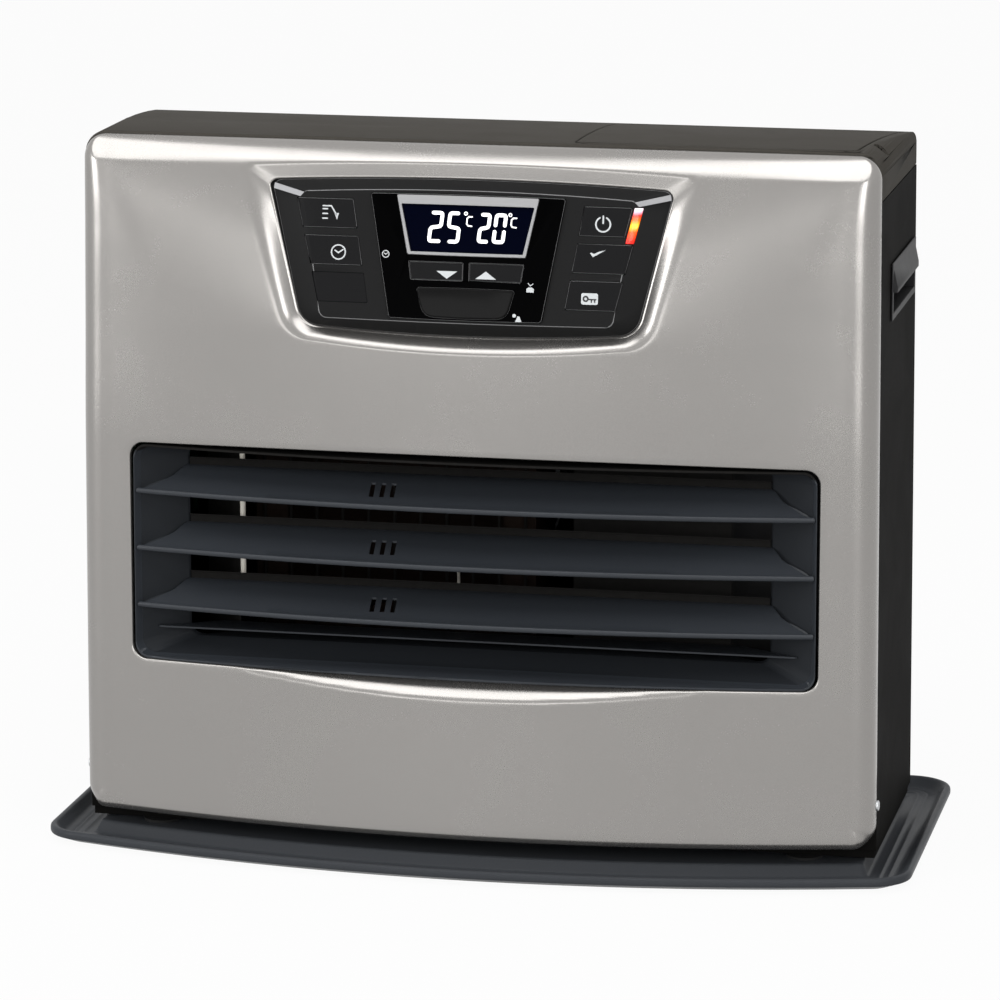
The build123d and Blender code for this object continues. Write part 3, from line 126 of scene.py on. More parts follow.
def skinned(name, rings, *finishes, sharp=None, smooth=True):
    """A closed piece whose skin runs from ring to ring, with a flat face at each end."""
    n = len(rings[0])
    points = [p for ring in rings for p in ring]
    faces = [(a + k, a + (k + 1) % n, a + n + (k + 1) % n, a + n + k)
             for a in range(0, len(points) - n, n) for k in range(n)]
    faces += [tuple(range(n))[::-1], tuple(range(len(points) - n, len(points)))]
    piece = new_piece(name, points, faces, *finishes, smooth=smooth)
    tidy_normals(piece, sharp)
    return piece


def settle(piece, slot, *replaced, body="heater"):
    """Hang a piece on its CAD body and hide the nodes it replaces. The slot is not used."""
    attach(piece, body)
    if replaced:
        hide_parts(*replaced)
    return piece


def triangles(piece):
    """How many triangles a piece has."""
    return sum(len(p.vertices) - 2 for p in piece.data.polygons)


# %% [markdown]
# ## Two effects that many finishes share
#
# Paint, sheet steel and moulded plastic differ in colour and gloss, but all of
# them have a fine grain, and all of them are a little uneven over a hand's
# breadth. Each effect is one node group, built once, and every finish sets its
# own strength.

# %% Small helpers for node trees
def set_inputs(node, values):
    """Give a node's sockets their fixed values."""
    for key, value in values.items():
        node.inputs[key].default_value = value


def add(tree, kind, inputs=None, **settings):
    """A node with its settings and its socket values."""
    made = tree.nodes.new(kind)
    for key, value in settings.items():
        setattr(made, key, value)
    set_inputs(made, inputs or {})
    return made


def join(tree, *pairs):
    """Links, each from one socket to the next."""
    for out_socket, in_socket in pairs:
        tree.links.new(out_socket, in_socket)


def maths(tree, kind, a, b):
    """A maths node fed by sockets or by numbers."""
    made = add(tree, "ShaderNodeMath", operation=kind)
    for socket, value in zip(made.inputs, (a, b)):
        if isinstance(value, (int, float)):
            socket.default_value = value
        else:
            tree.links.new(value, socket)
    return made.outputs[0]


def new_group(name, ins, outs):
    """A shader group with named sockets. Each input is name, kind, default."""
    tree = bpy.data.node_groups.new(name, "ShaderNodeTree")
    for side, rows in (("INPUT", ins), ("OUTPUT", outs)):
        for label, kind, *value in rows:
            socket = tree.interface.new_socket(name=label, in_out=side, socket_type="NodeSocket" + kind)
            if value:
                socket.default_value = value[0]
    return tree, tree.nodes.new("NodeGroupInput").outputs, tree.nodes.new("NodeGroupOutput").inputs


def scaled_noise(tree, size_mm, **settings):
    """Noise in the object's own coordinates, its features about as large as the socket says."""
    noise = add(tree, "ShaderNodeTexNoise", settings)
    join(tree, (add(tree, "ShaderNodeTexCoord").outputs["Object"], noise.inputs["Vector"]),
         (maths(tree, "DIVIDE", 1 / MM, size_mm), noise.inputs["Scale"]))
    return noise.outputs["Fac"]


# %% The grain of a coat or a moulding
grain, given, told = new_group(
    "fine_grain",
    [("Colour", "Color", (0.5, 0.5, 0.5, 1.0)), ("Tone change", "Float", 0.1),
     ("Roughness", "Float", 0.4), ("Roughness change", "Float", 0.1), ("Grain size mm", "Float", 1.0)],
    [("Colour", "Color"), ("Roughness", "Float"), ("Height", "Float")])
speck = scaled_noise(grain, given["Grain size mm"], Detail=2.0, Roughness=0.6)
centred = maths(grain, "SUBTRACT", speck, 0.5)
tone = maths(grain, "ADD", maths(grain, "MULTIPLY", centred, given["Tone change"]), 1.0)
gloss = maths(grain, "MULTIPLY", centred, given["Roughness change"])
tint = add(grain, "ShaderNodeVectorMath", operation="SCALE")
join(grain, (given["Colour"], tint.inputs[0]), (tone, tint.inputs["Scale"]),
     (tint.outputs[0], told["Colour"]), (speck, told["Height"]),
     (maths(grain, "ADD", gloss, given["Roughness"]), told["Roughness"]))
print("group:", grain.name, [s.name for s in grain.interface.items_tree])

# %% The unevenness of a handled surface
uneven, given, told = new_group(
    "hand_marks",
    [("Roughness", "Float", 0.4), ("Strength", "Float", 0.05), ("Patch size mm", "Float", 60.0)],
    [("Roughness", "Float")])
cloud = scaled_noise(uneven, given["Patch size mm"], Detail=4.0, Roughness=0.65, Distortion=0.6)
band = add(uneven, "ShaderNodeMapRange", {"From Min": 0.35, "From Max": 0.7},
           interpolation_type="SMOOTHSTEP")
lift = maths(uneven, "MULTIPLY", band.outputs["Result"], given["Strength"])
join(uneven, (cloud, band.inputs["Value"]),
     (maths(uneven, "ADD", lift, given["Roughness"]), told["Roughness"]))
print("group:", uneven.name, [s.name for s in uneven.interface.items_tree])

# %% [markdown]
# ## The finishes
#
# Most parts are painted, moulded or plain metal. One helper lays the two
# effects over a base colour and sets what never changes over the surface, such
# as how metallic it is, straight on the shader.

# %% A coat of paint, a moulding or a metal
PATCH_MM = 70.0


def new_material(name):
    """A material, its node tree and its shader."""
    made = bpy.data.materials.new(name)
    made.use_nodes = True
    return made, made.node_tree, made.node_tree.nodes["Principled BSDF"]


def finish(name, colour, roughness, grain_mm, tone, relief_mm=0.02, specular=0.5, metallic=0.0,
           rough_change=0.15, marks=0.05):
    """A material with grain, hand marks and a fine relief."""
    made, tree, shader = new_material(name)
    soft = add(tree, "ShaderNodeGroup", node_tree=uneven)
    set_inputs(soft, {"Roughness": roughness, "Strength": marks, "Patch size mm": PATCH_MM})
    fine = add(tree, "ShaderNodeGroup", node_tree=grain)
    set_inputs(fine, {"Colour": (*colour, 1.0), "Tone change": tone, "Roughness change": rough_change,
                      "Grain size mm": grain_mm})
    bump = add(tree, "ShaderNodeBump", {"Strength": 1.0, "Distance": relief_mm * MM})
    set_inputs(shader, {"Specular IOR Level": specular, "Metallic": metallic})
    join(tree, (soft.outputs["Roughness"], fine.inputs["Roughness"]),
         (fine.outputs["Colour"], shader.inputs["Base Color"]),
         (fine.outputs["Roughness"], shader.inputs["Roughness"]),
         (fine.outputs["Height"], bump.inputs["Height"]), (bump.outputs[0], shader.inputs["Normal"]))
    return made


# %% Every finish by its slot
# slot: name, colour, roughness, grain mm, tone change, relief mm, specular, metallic, gloss change, marks
coats = {
    "silver": ("silver_paint", (0.296, 0.285, 0.273), 0.245, 0.8, 0.18, 0.005, 0.5, 0.85, 0.06, 0.03),
    "cabinet": ("cabinet_paint", (0.0075, 0.0072, 0.0068), 0.6, 1.2, 0.5, 0.06, 0.008),
    "top": ("top_moulding", (0.052, 0.048, 0.042), 0.55, 0.9, 0.4, 0.05, 0.008),
    "tray": ("tray_enamel", (0.040, 0.043, 0.048), 0.36, 0.8, 0.3, 0.03, 0.06),
    "louvre": ("louvre_enamel", (0.026, 0.0295, 0.035), 0.34, 0.7, 0.3, 0.03, 0.22),
    # The slats' enamel made darker for the frame's inner faces: painted shade.
    "outlet": ("louvre_frame_enamel", (0.016, 0.018, 0.021), 0.5, 0.7, 0.3, 0.03, 0.08),
    "bezel": ("bezel_moulding", (0.011, 0.011, 0.0112), 0.4, 0.5, 0.4, 0.02, 0.055),
    "button": ("button_moulding", (0.0085, 0.0085, 0.009), 0.42, 0.4, 0.4, 0.02, 0.055),
    # A pale grey on the soft edges of dark mouldings: a painted highlight.
    "rubbed": ("rubbed_edge", (0.13, 0.13, 0.132), 0.35, 0.4, 0.3, 0.01),
    "glossy": ("glossy_moulding", (0.0009, 0.0009, 0.001), 0.12, 0.8, 0.12, 0.002, 0.004),
    "trim": ("display_surround", (0.30, 0.30, 0.305), 0.34, 0.4, 0.1),
    "screen": ("display_glass", (0.0006, 0.0011, 0.0055), 0.1, 0.8, 0.2, 0.002, 0.004, 0.0, 0.15, 0.03),
    "window": ("motion_lens", (0.006, 0.006, 0.006), 0.1, 0.8, 0.3, 0.004, 0.05),
    # A pale grey for two plates on the bezel's corners: a painted glint.
    "facet": ("bright_facet", (0.33, 0.33, 0.34), 0.4, 0.6, 0.2, 0.02, 0.2),
    "board": ("circuit_board", (0.02, 0.13, 0.06), 0.35, 2.0, 0.5),
    "steel": ("galvanised_steel", (0.50, 0.51, 0.52), 0.38, 6.0, 0.35, 0.01, 0.5, 1.0),
    # Near-black soot colour; inside the outlet and along the slats' rear edges it is painted shade.
    "sooty": ("sooty_steel", (0.010, 0.0095, 0.009), 0.7, 5.0, 0.6, 0.03, 0.05),
    "burnt": ("burnt_steel", (0.014, 0.009, 0.007), 0.7, 9.0, 0.8, 0.02, 0.05),
    "hot_steel": ("heated_steel", (0.36, 0.22, 0.15), 0.42, 9.0, 0.6, 0.02, 0.5, 1.0),
    "tank_paint": ("tank_paint", (0.44, 0.45, 0.46), 0.35, 1.5, 0.2, 0.02, 0.5, 0.4),
    "clear": ("gauge_plastic", (0.75, 0.72, 0.62), 0.2, 0.8, 0.1, 0.004),
    "red_plastic": ("red_moulding", (0.42, 0.02, 0.015), 0.35, 0.6, 0.2),
    "black_plastic": ("black_moulding", (0.016, 0.016, 0.017), 0.5, 0.6, 0.4, 0.04, 0.15),
    "ceramic": ("ceramic", (0.78, 0.74, 0.66), 0.5, 0.7, 0.15),
    "copper": ("copper_tube", (0.72, 0.36, 0.22), 0.3, 3.0, 0.3, 0.02, 0.5, 1.0),
    "cast": ("cast_metal", (0.32, 0.32, 0.33), 0.5, 1.4, 0.4, 0.08, 0.5, 1.0),
    "motor": ("motor_case", (0.30, 0.31, 0.33), 0.4, 2.0, 0.3, 0.02, 0.5, 1.0),
    "rubber": ("rubber", (0.012, 0.012, 0.012), 0.75, 0.7, 0.5, 0.08, 0.2),
    "chrome": ("plated_steel", (0.72, 0.71, 0.69), 0.24, 1.0, 0.2, 0.02, 0.5, 1.0),
    "ink": ("printed_white", (0.52, 0.54, 0.55), 0.5, 0.3, 0.1, 0.004),
    "dark_ink": ("printed_dark", (0.01, 0.01, 0.011), 0.5, 0.3, 0.1, 0.004),
    "lit": ("lit_digits", (0.8, 0.8, 0.8), 0.4, 0.4, 0.05, 0.002),
}
paint = {slot: finish(*row) for slot, row in coats.items()}
paint["lens"] = paint["red_plastic"]
set_inputs(paint["lit"].node_tree.nodes["Principled BSDF"],
           {"Emission Color": (1.0, 1.0, 1.0, 1.0), "Emission Strength": 0.75})
for node in nodes.values():
    for index, old in enumerate(node.data.materials):
        node.data.materials[index] = paint[old.name.split(".")[0]]
# Inside the outlet the ducts, the funnel and the guard take the near-black soot colour: soot on the burner
# parts and painted shade of the dark inside. The chassis pan takes the dark cabinet paint: painted shade
# under the front's lower edge.
for name, slot in (("air_duct", "sooty"), ("outlet_funnel", "sooty"), ("chamber_guard", "sooty"),
                   ("combustion_chamber", "burnt"), ("chassis_pan", "cabinet")):
    nodes[name].data.materials[0] = paint[slot]
print("finishes:", len(paint))

# %% [markdown]
# ## Outlines
#
# The panel, the dish, the bezel, the display and the outlet are all the same
# kind of shape: four sides, the top and bottom a little bowed, with rounded
# corners. One helper draws it as a ring of points, anticlockwise.

# %% Four bowed sides with round corners
def bowed_outline(top_half, low_half, top, low, crown_top=0.0, crown_low=0.0, top_r=1.0, low_r=1.0,
                  grow=0.0, step=4.0, turn=7, counts=None):
    """Points round the outline, in millimetres."""
    t, b = top_half + grow, low_half + grow
    u, v = top + grow, low - grow
    ct, cb = 4 * crown_top / (2 * t), 4 * crown_low / (2 * b)
    corners = [
        ((-b, v), (t - b, v - u), (1, -cb), low_r), ((b, v), (1, cb), (t - b, u - v), low_r),
        ((t, u), (t - b, u - v), (-1, ct), top_r), ((-t, u), (-1, -ct), (b - t, v - u), top_r)]
    ring, ends = [], []
    for (cx, cy), before, after, r in corners:
        d0 = np.array(before, float) / np.hypot(*before)
        d1 = np.array(after, float) / np.hypot(*after)
        angle = math.acos(float(np.clip(d0 @ d1, -1, 1)))
        reach = r * math.tan(angle / 2)
        p0 = np.array((cx, cy)) - reach * d0
        centre = p0 + r * np.array((-d0[1], d0[0]))
        start = math.atan2(*(p0 - centre)[::-1])
        turns = [start + angle * k / turn for k in range(turn + 1)]
        ends.append([centre + r * np.array((math.cos(a), math.sin(a))) for a in turns])
    for k, arc in enumerate(ends):
        ring.extend(arc)
        a, c = arc[-1], ends[(k + 1) % 4][0]
        count = counts[k] if counts else max(int(np.hypot(*(c - a)) / step), 1)
        bow = {0: -crown_low, 2: crown_top}.get(k, 0.0)
        half = {0: b, 2: t}.get(k, 1.0)
        for j in range(1, count):
            p = a + (c - a) * j / count
            if bow:
                p = np.array((p[0], (v if k == 0 else u) + bow * (1 - (p[0] / half) ** 2)))
            ring.append(p)
    return np.array(ring)


def outward(ring):
    """Unit normals of an anticlockwise ring, pointing out."""
    run = np.roll(ring, -1, 0) - np.roll(ring, 1, 0)
    run /= np.maximum(np.hypot(run[:, 0], run[:, 1]), 1e-9)[:, None]
    return np.stack([run[:, 1], -run[:, 0]], 1)


def away_from(ring, spots):
    """Signed distance of each spot from a ring, positive outside."""
    a, b = ring, np.roll(ring, -1, 0)
    best = np.full(len(spots), 1e9)
    inside = np.zeros(len(spots), bool)
    for (ax, ay), (bx, by) in zip(a, b):
        dx, dy = bx - ax, by - ay
        from_x, from_y = spots[:, 0] - ax, spots[:, 1] - ay
        t = np.clip((from_x * dx + from_y * dy) / (dx * dx + dy * dy + 1e-12), 0, 1)
        best = np.minimum(best, np.hypot(from_x - t * dx, from_y - t * dy))
        if dy:
            cross = (from_y < 0) != (by > spots[:, 1])
            inside ^= cross & (spots[:, 0] < ax + from_y * dx / dy)
    return np.where(inside, -best, best)


# %% [markdown]
# ## The silver front
#
# The real front is one pressed sheet of steel. It bows forward in plan, leans
# back above the outlet, carries a soft crease down each side, and is dished
# round the controls. Modelled by hand this would be a long subdivision job, and
# boolean cuts would spoil the soft shading. Here the sheet is a height field:
# a function says how far the face stands out at every place, and a net of
# triangles, finer where the shape turns quickly, is laid over it.

# %% Measures of the front, in mm
SEAM = -70.0  # Y of the joint between the front and the cabinet
FOOT, BROW = 20.5, 436.4  # Z of the front's lower and upper edge
OUTLET_TOP, OUTLET_LOW = 252.0, 118.5
CREASE_Z = 326.0  # the side creases start at this height
LEAN = math.radians(8.3)
PANEL_Y, PANEL_Z = -21.9, 370.0  # the leaning panel's middle
stations = np.array([20.5, 120, 254, 325, 380, 421, 426, 430, 434.5, 436.4])
at_ends = np.array([16.5, 17.6, 17.9, 16.0, 14.8, 12.3, 9.7, 7.0, 4.0, 1.7])
at_middle = np.array([43.5, 40.0, 38.5, 38.0, 29.5, 17.3, 15.3, 12.0, 6.5, 2.2])
print("the middle stands out by up to", at_middle.max(), "mm, the ends by up to", at_ends.max(), "mm")


# %% Curves and soft steps
def through(values, at):
    """A smooth curve through the stations that never overshoots."""
    h, d = np.diff(stations), np.diff(values) / np.diff(stations)
    m = np.concatenate([[d[0]], np.zeros(len(d) - 1), [d[-1]]])
    for i in range(1, len(d)):
        if d[i - 1] * d[i] > 0:
            w0, w1 = 2 * h[i] + h[i - 1], h[i] + 2 * h[i - 1]
            m[i] = (w0 + w1) / (w0 / d[i - 1] + w1 / d[i])
    i = np.clip(np.searchsorted(stations, at) - 1, 0, len(h) - 1)
    t = (at - stations[i]) / h[i]
    return ((1 + 2 * t) * (1 - t) ** 2 * values[i] + t * (1 - t) ** 2 * h[i] * m[i]
            + t * t * (3 - 2 * t) * values[i + 1] + t * t * (t - 1) * h[i] * m[i + 1])


def lower_of(a, b, k):
    """The smaller of two, with a soft change over k."""
    h = np.maximum(k - np.abs(a - b), 0) / np.maximum(k, 1e-6)
    return np.minimum(a, b) - h * h * k / 4


def ramp(a, b, value):
    """A soft step from 0 at a to 1 at b."""
    t = np.clip((value - a) / (b - a), 0, 1)
    return t * t * (3 - 2 * t)


# %% How far the face stands out
def crease_at(z):
    """Half width at which a side crease runs, at a height."""
    return 184.5 + (z - CREASE_Z) / 96.5 * 40.9


def face_depth(x, z):
    """Depth of the face in front of the seam, before the dish is pressed."""
    bow_end, ease, span = 222, 8, 228  # the bow levels out past bow_end
    ax = np.abs(x)
    ax = np.where(ax > bow_end, bow_end + ease * np.tanh((ax - bow_end) / ease), ax)
    ends, middle = through(at_ends, z), through(at_middle, z)
    is_leaning = z > CREASE_Z - 1
    full = np.where(is_leaning, ends + 22, middle)
    upright = ends + (full - ends) * (1 - (ax / span) ** 2)
    at_crease = ends + (full - ends) * (1 - (crease_at(z) / span) ** 2)
    leaning = middle - (middle - at_crease) * (ax / crease_at(z)) ** 2
    soft = 0.5 * ramp(325, 345, z) + 1.2 * ramp(370, 425, z)
    depth = np.where(is_leaning, lower_of(upright, leaning, soft), upright)
    # Under the outlet a facet slopes out until it meets the bow.
    facet = np.where(z < OUTLET_LOW + 1.5, 31 + (OUTLET_LOW - z) * 0.83, 99.0)
    return lower_of(depth, facet, 0.5)


at_outlet = face_depth(np.array([0.0]), np.array([OUTLET_TOP]))[0]
print("depth at the middle of the outlet's top:", round(float(at_outlet), 2))


# %% The dish pressed round the controls
bezel = (121.1, 101.1, 44.4, -40, 3.3, 4.5)
same_points = {"turn": 9, "counts": (56, 24, 66, 24)}
bezel_ring = bowed_outline(*bezel, 5, 14, grow=0.3, **same_points)
dish_floor = bowed_outline(*bezel, 6, 15, grow=1.2, **same_points)
dish_rim = bowed_outline(136, 109.5, 53, -46.5, 4.3, 7.2, 5, 20, **same_points)
LEDGE = -0.25  # how far the dish's floor stands before the panel's plane: a little behind it


def plane_y(z):
    """Y of the control panel's leaning plane at a height."""
    return SEAM + PANEL_Y + (z - PANEL_Z) * math.tan(LEAN)


# %% The rings of the dish, from its hole to the face
def on_sheet(ring, w=0.0):
    """X and Z of a ring drawn on the panel's plane, w in front of it."""
    return np.stack([ring[:, 0], PANEL_Z + ring[:, 1] * math.cos(LEAN) + w * math.sin(LEAN)], 1)


rim_w = np.full(len(dish_rim), 8.0)
for _ in range(6):
    rim_ring = on_sheet(dish_rim, rim_w)
    rim_w = (plane_y(rim_ring[:, 1]) - SEAM + face_depth(*rim_ring.T)) * math.cos(LEAN)
floor_ring, hole_ring = on_sheet(dish_floor), on_sheet(bezel_ring)
low_y = plane_y(floor_ring[:, 1]) - LEDGE
rise_y = low_y - (SEAM - face_depth(*rim_ring.T))
# The wall goes from the floor at share 0 to the rim at 1 and runs out into the face at 1.4.
dish_rings, dish_heights = [hole_ring], [plane_y(hole_ring[:, 1]) - LEDGE]
for share in (0, 0.08, 0.2, 0.34, 0.48, 0.62, 0.74, 0.84, 0.92, 1.0, 1.08, 1.17, 1.28, 1.4):
    ring = floor_ring + (rim_ring - floor_ring) * share
    face = SEAM - face_depth(*ring.T)
    bulge = 0.3 * share * max(1 - share, 0)
    wall = low_y - rise_y * (share + bulge)
    soft = 0.5 + 2.2 * (1 - ramp(400, 418, ring[:, 1]))
    pressed = -lower_of(-face, -wall, soft)
    dish_rings.append(ring)
    dish_heights.append(np.where(share > 1.3, face, pressed))
print("the dish's rim stands over its floor by", rim_w.min().round(1), "to", rim_w.max().round(1), "mm")


def on_panel(u, v, w):
    """A place on the control panel's leaning plane."""
    return (u, SEAM + PANEL_Y + v * math.sin(LEAN) - w * math.cos(LEAN),
            PANEL_Z + v * math.cos(LEAN) + w * math.sin(LEAN))


# %% The net of triangles over the sheet
def half_at(z):
    """Half of the body's width at a height."""
    return 244.0 - 3.0 * z / 420.0


edge_ring = bowed_outline(half_at(BROW), half_at(FOOT), BROW, FOOT, 0, 0, 14, 14, step=3.0, turn=16)
outlet_ring = bowed_outline(210, 210, OUTLET_TOP, OUTLET_LOW, 3.0, 0, 9, 9, step=3.0, turn=12)
facing = outward(edge_ring)
side_share = ramp(0.25, 0.95, np.abs(facing[:, 0]))
ends_here = through(at_ends, np.clip(edge_ring[:, 1], FOOT, BROW))
plain_r = np.where(edge_ring[:, 1] > 300, 1.0, 5.0)
roll = plain_r + side_share * (np.minimum(14.0, ends_here - 0.7) - plain_r)
roll = np.minimum(roll, np.maximum(ends_here - 0.7, 0.5))
rings, drops = [], []


def round_over(ring, way, radius, steps):
    """Rings that turn from the face into an edge. The last is the edge itself."""
    for a in [math.pi / 2 * k / steps for k in range(steps + 1)]:
        rings.append(ring + way * (radius * (1 - math.sin(a)))[:, None])
        drops.append(radius * (1 - math.cos(a)))


round_over(edge_ring, -facing, roll, 8)
edge_at, outlet_from = len(rings) - 1, len(rings)
round_over(outlet_ring, outward(outlet_ring), np.full(len(outlet_ring), 1.6), 5)
outlet_at, hole_at = len(rings) - 1, len(rings)
for ring, height in zip(dish_rings, dish_heights):
    rings.append(ring)
    drops.append(height - SEAM + face_depth(*ring.T))
print("rings:", len(rings), "points:", sum(len(r) for r in rings))


# %% Filling in between the rings
def hex_net(pitch, gap):
    """An even net of points inside the sheet, clear of the rings by a gap."""
    half, row = 245, pitch * 0.866
    net = np.array([(-half + (c + 0.5 * (r % 2)) * pitch, FOOT + r * row)
                    for r in range(int((BROW - FOOT) / row) + 1) for c in range(int(2 * half / pitch) + 1)])
    clear = away_from(rings[0], net) < -gap
    for hole in (rings[outlet_from], dish_rings[-1]):
        clear &= away_from(hole, net) > gap
    return net[clear]


def is_busy(net):
    """True where the sheet turns quickly."""
    x, z = net[:, 0], net[:, 1]
    near_dish = away_from(rim_ring, net) < 14
    near_crease = (np.abs(np.abs(x) - crease_at(z)) < 7) & (z > CREASE_Z - 4)
    return near_dish | near_crease | (z > 418) | ((z < 121) & (z > 100))


coarse, fine = hex_net(3.4, 1.8), hex_net(1.9, 1.0)
coarse, fine = coarse[~is_busy(coarse)], fine[is_busy(fine)]
flat = np.concatenate([*rings, coarse, fine])
edges, starts = [], []
for ring in rings:
    start, n = len(edges), len(ring)
    starts.append(start)
    edges += [(start + i, start + (i + 1) % n) for i in range(n)]
spots, _, tris, origin, _, _ = delaunay_2d_cdt([Vector(p) for p in flat], edges, [], 0, 1e-5)
spots = np.array([tuple(p) for p in spots])
tris = np.array(tris)
middles = spots[tris].mean(1)
inside = (away_from(edge_ring, middles) < 0) & (away_from(outlet_ring, middles) > 0)
inside &= away_from(hole_ring, middles) > 0
tris = tris[inside]
print("net:", len(spots), "points,", len(tris), "triangles")

# %% Raising the net to the sheet
drop_of = np.concatenate([*drops, np.zeros(len(coarse) + len(fine))])
drop = np.array([drop_of[o[0]] if o else 0.0 for o in origin])
height = SEAM - face_depth(spots[:, 0], np.clip(spots[:, 1], FOOT, BROW)) + drop
points = [(x, y, z) for (x, z), y in zip(spots, height)]
where = {given: i for i, merged in enumerate(origin) for given in merged}
faces = [tuple(t) for t in tris.tolist()]


def turn_back(at, depths, inwards):
    """Carry one ring of the net straight back as a flange, in steps."""
    count = len(rings[at])
    prev = [where[starts[at] + i] for i in range(count)]
    for depth in depths:
        now = [len(points) + i for i in range(count)]
        points.extend((points[i][0], depth(points[i][1]), points[i][2]) for i in prev)
        for i in range(count):
            j = (i + 1) % count
            quad = (prev[i], prev[j], now[j], now[i])
            faces.append(quad if inwards else quad[::-1])
        prev = now


turn_back(edge_at, [lambda y: min(y + 1, SEAM) if y < SEAM - 1 else y + 0.01, lambda y: SEAM], False)
turn_back(outlet_at, [lambda y: y + 2, lambda y: y + 7], True)
turn_back(hole_at, [lambda y: y + 2], True)
front = new_piece("silver_front", points, faces, paint["silver"])
front.data.validate()
sheet = front.modifiers.new("sheet", "SOLIDIFY")
sheet.thickness = 0.001
sheet.offset = -1.0
settle(front, "silver", "front_panel")
print("silver front:", len(points), "points")

# %% [markdown]
# ## The louvre slats
#
# Three identical slats are clipped into the outlet. Each has a rolled lip that
# follows the bow of the front and a hollow blade that climbs to a straight rear
# edge. One slat is drawn, and Geometry Nodes set it three times at one pitch,
# as the real frame does.


# %% One slat
def slat_half(y):
    """Half length of a slat at a depth: it narrows in an S towards the rear."""
    depths = [-60.0, -20.5, -15.0, -12.0, -10.6, -9.8, -8.6, -6.0, -1.0]
    halves = [207.9, 207.9, 203.0, 195.5, 190.5, 188.0, 186.0, 183.0, 178.6]
    return float(np.interp(y, depths, halves))


def slat_section(s):
    """The closed section of a slat, at a share s of its half length."""
    rise, lip, nose, thick = 13.9, 3.4, 1.5, 1.2
    shares = (0.3, 0.42, 0.5, 0.58, 0.66, 0.75, 0.85, 0.93, 1.0)
    front_y = -37.9 + 18.4 * s * s
    run = -1.2 - front_y
    climb = [(front_y + run * f, rise * float(ramp(0.02, 1.02, f))) for f in (0.16, *shares)]
    ring = [(front_y + nose + nose * math.cos(a), lip / 2 * math.sin(a))
            for a in [math.pi * (0.5 + k / 6) for k in range(7)]]
    ring += [(front_y + 2 * nose, -lip * 0.22), *((y, z - thick) for y, z in climb[1:]), *climb[::-1],
             (front_y + 2.4, lip * 0.42)]
    return [(s * slat_half(y), SEAM + y, z) for y, z in ring]


SPANS = 96
sections = [slat_section(-1 + 2 * i / SPANS) for i in range(SPANS + 1)]
one_slat = skinned("one_slat", sections, paint["louvre"], sharp=40)
print("one slat:", triangles(one_slat), "triangles")


# %% The three small slots in it
def box_mesh(name, low, high, lean=0.0):
    """A plain block that leans sideways towards its rear, used only to cut."""
    (x0, y0, z0), (x1, y1, z1) = low, high
    shift = lean * (y1 - y0)
    outline = [(x0, y0), (x1, y0), (x1 + shift, y1), (x0 + shift, y1)]
    return skinned(name, [[(x, y, z) for x, y in outline] for z in (z0, z1)], smooth=False)


def plain_mesh(piece):
    """The mesh of a piece with its modifiers worked out."""
    ready = piece.evaluated_get(bpy.context.evaluated_depsgraph_get())
    plain = bpy.data.meshes.new_from_object(ready)
    piece.modifiers.clear()
    piece.data = plain
    return plain


def cut_away(piece, cutter):
    """Cut one mesh with another and drop the cutter."""
    knife = piece.modifiers.new("cut", "BOOLEAN")
    knife.operation = "DIFFERENCE"
    knife.solver = "EXACT"
    knife.object = cutter
    plain_mesh(piece).set_sharp_from_angle(angle=math.radians(40))
    bpy.data.objects.remove(cutter)


for k in range(3):
    x = -61.6 + 6.4 * k
    cut_away(one_slat, box_mesh("slot", (x, SEAM - 24.0, -4.0), (x + 2.9, SEAM - 13.0, 16.0), -0.07))
print("one slat with its slots:", triangles(one_slat), "triangles")


# %% Copies of a part by Geometry Nodes
def parts_tree(name, *own):
    """Geometry Nodes: copies of a part on points, made real and given a finish."""
    tree = bpy.data.node_groups.new(name, "GeometryNodeTree")
    tree.interface.new_socket(name="Geometry", in_out="OUTPUT", socket_type="NodeSocketGeometry")
    for label, kind in (("Geometry", "Geometry"), ("Part", "Object"), *own, ("Finish", "Material")):
        tree.interface.new_socket(name=label, in_out="INPUT", socket_type="NodeSocket" + kind)
    given, end = tree.nodes.new("NodeGroupInput").outputs, tree.nodes.new("NodeGroupOutput")
    part, stand, real, coat = (add(tree, "GeometryNode" + kind) for kind in (
        "ObjectInfo", "InstanceOnPoints", "RealizeInstances", "SetMaterial"))
    join(tree, (given["Part"], part.inputs["Object"]), (part.outputs["Geometry"], stand.inputs["Instance"]),
         (stand.outputs["Instances"], real.inputs["Geometry"]),
         (real.outputs["Geometry"], coat.inputs["Geometry"]), (given["Finish"], coat.inputs["Material"]),
         (coat.outputs["Geometry"], end.inputs["Geometry"]))
    return tree, given, stand.inputs


def grow_piece(name, tree, values, *sources):
    """Run a Geometry Nodes tree with its inputs, keep the plain mesh and drop what it was made from."""
    carrier = put(name, bpy.data.meshes.new(name))
    machine = carrier.modifiers.new("build", "NODES")
    machine.node_group = tree
    keys = {s.name: s.identifier for s in tree.interface.items_tree if s.in_out == "INPUT"}
    for label, value in values.items():
        machine[keys[label]] = value
    plain_mesh(carrier).name = name
    for source in sources:
        bpy.data.objects.remove(source)
    return carrier


stack, given, stand = parts_tree("stack_of_parts",
                                 ("Count", "Int"), ("First", "Vector"), ("Step", "Vector"))
line = add(stack, "GeometryNodeMeshLine", mode="OFFSET")
join(stack, (given["Count"], line.inputs["Count"]), (given["First"], line.inputs["Start Location"]),
     (given["Step"], line.inputs["Offset"]), (line.outputs["Mesh"], stand["Points"]))


def stacked(name, one, count, first, step, coat):
    """A part set a number of times at one step."""
    values = {"Part": one, "Count": count, "First": first, "Step": step, "Finish": coat}
    return grow_piece(name, stack, values, one)


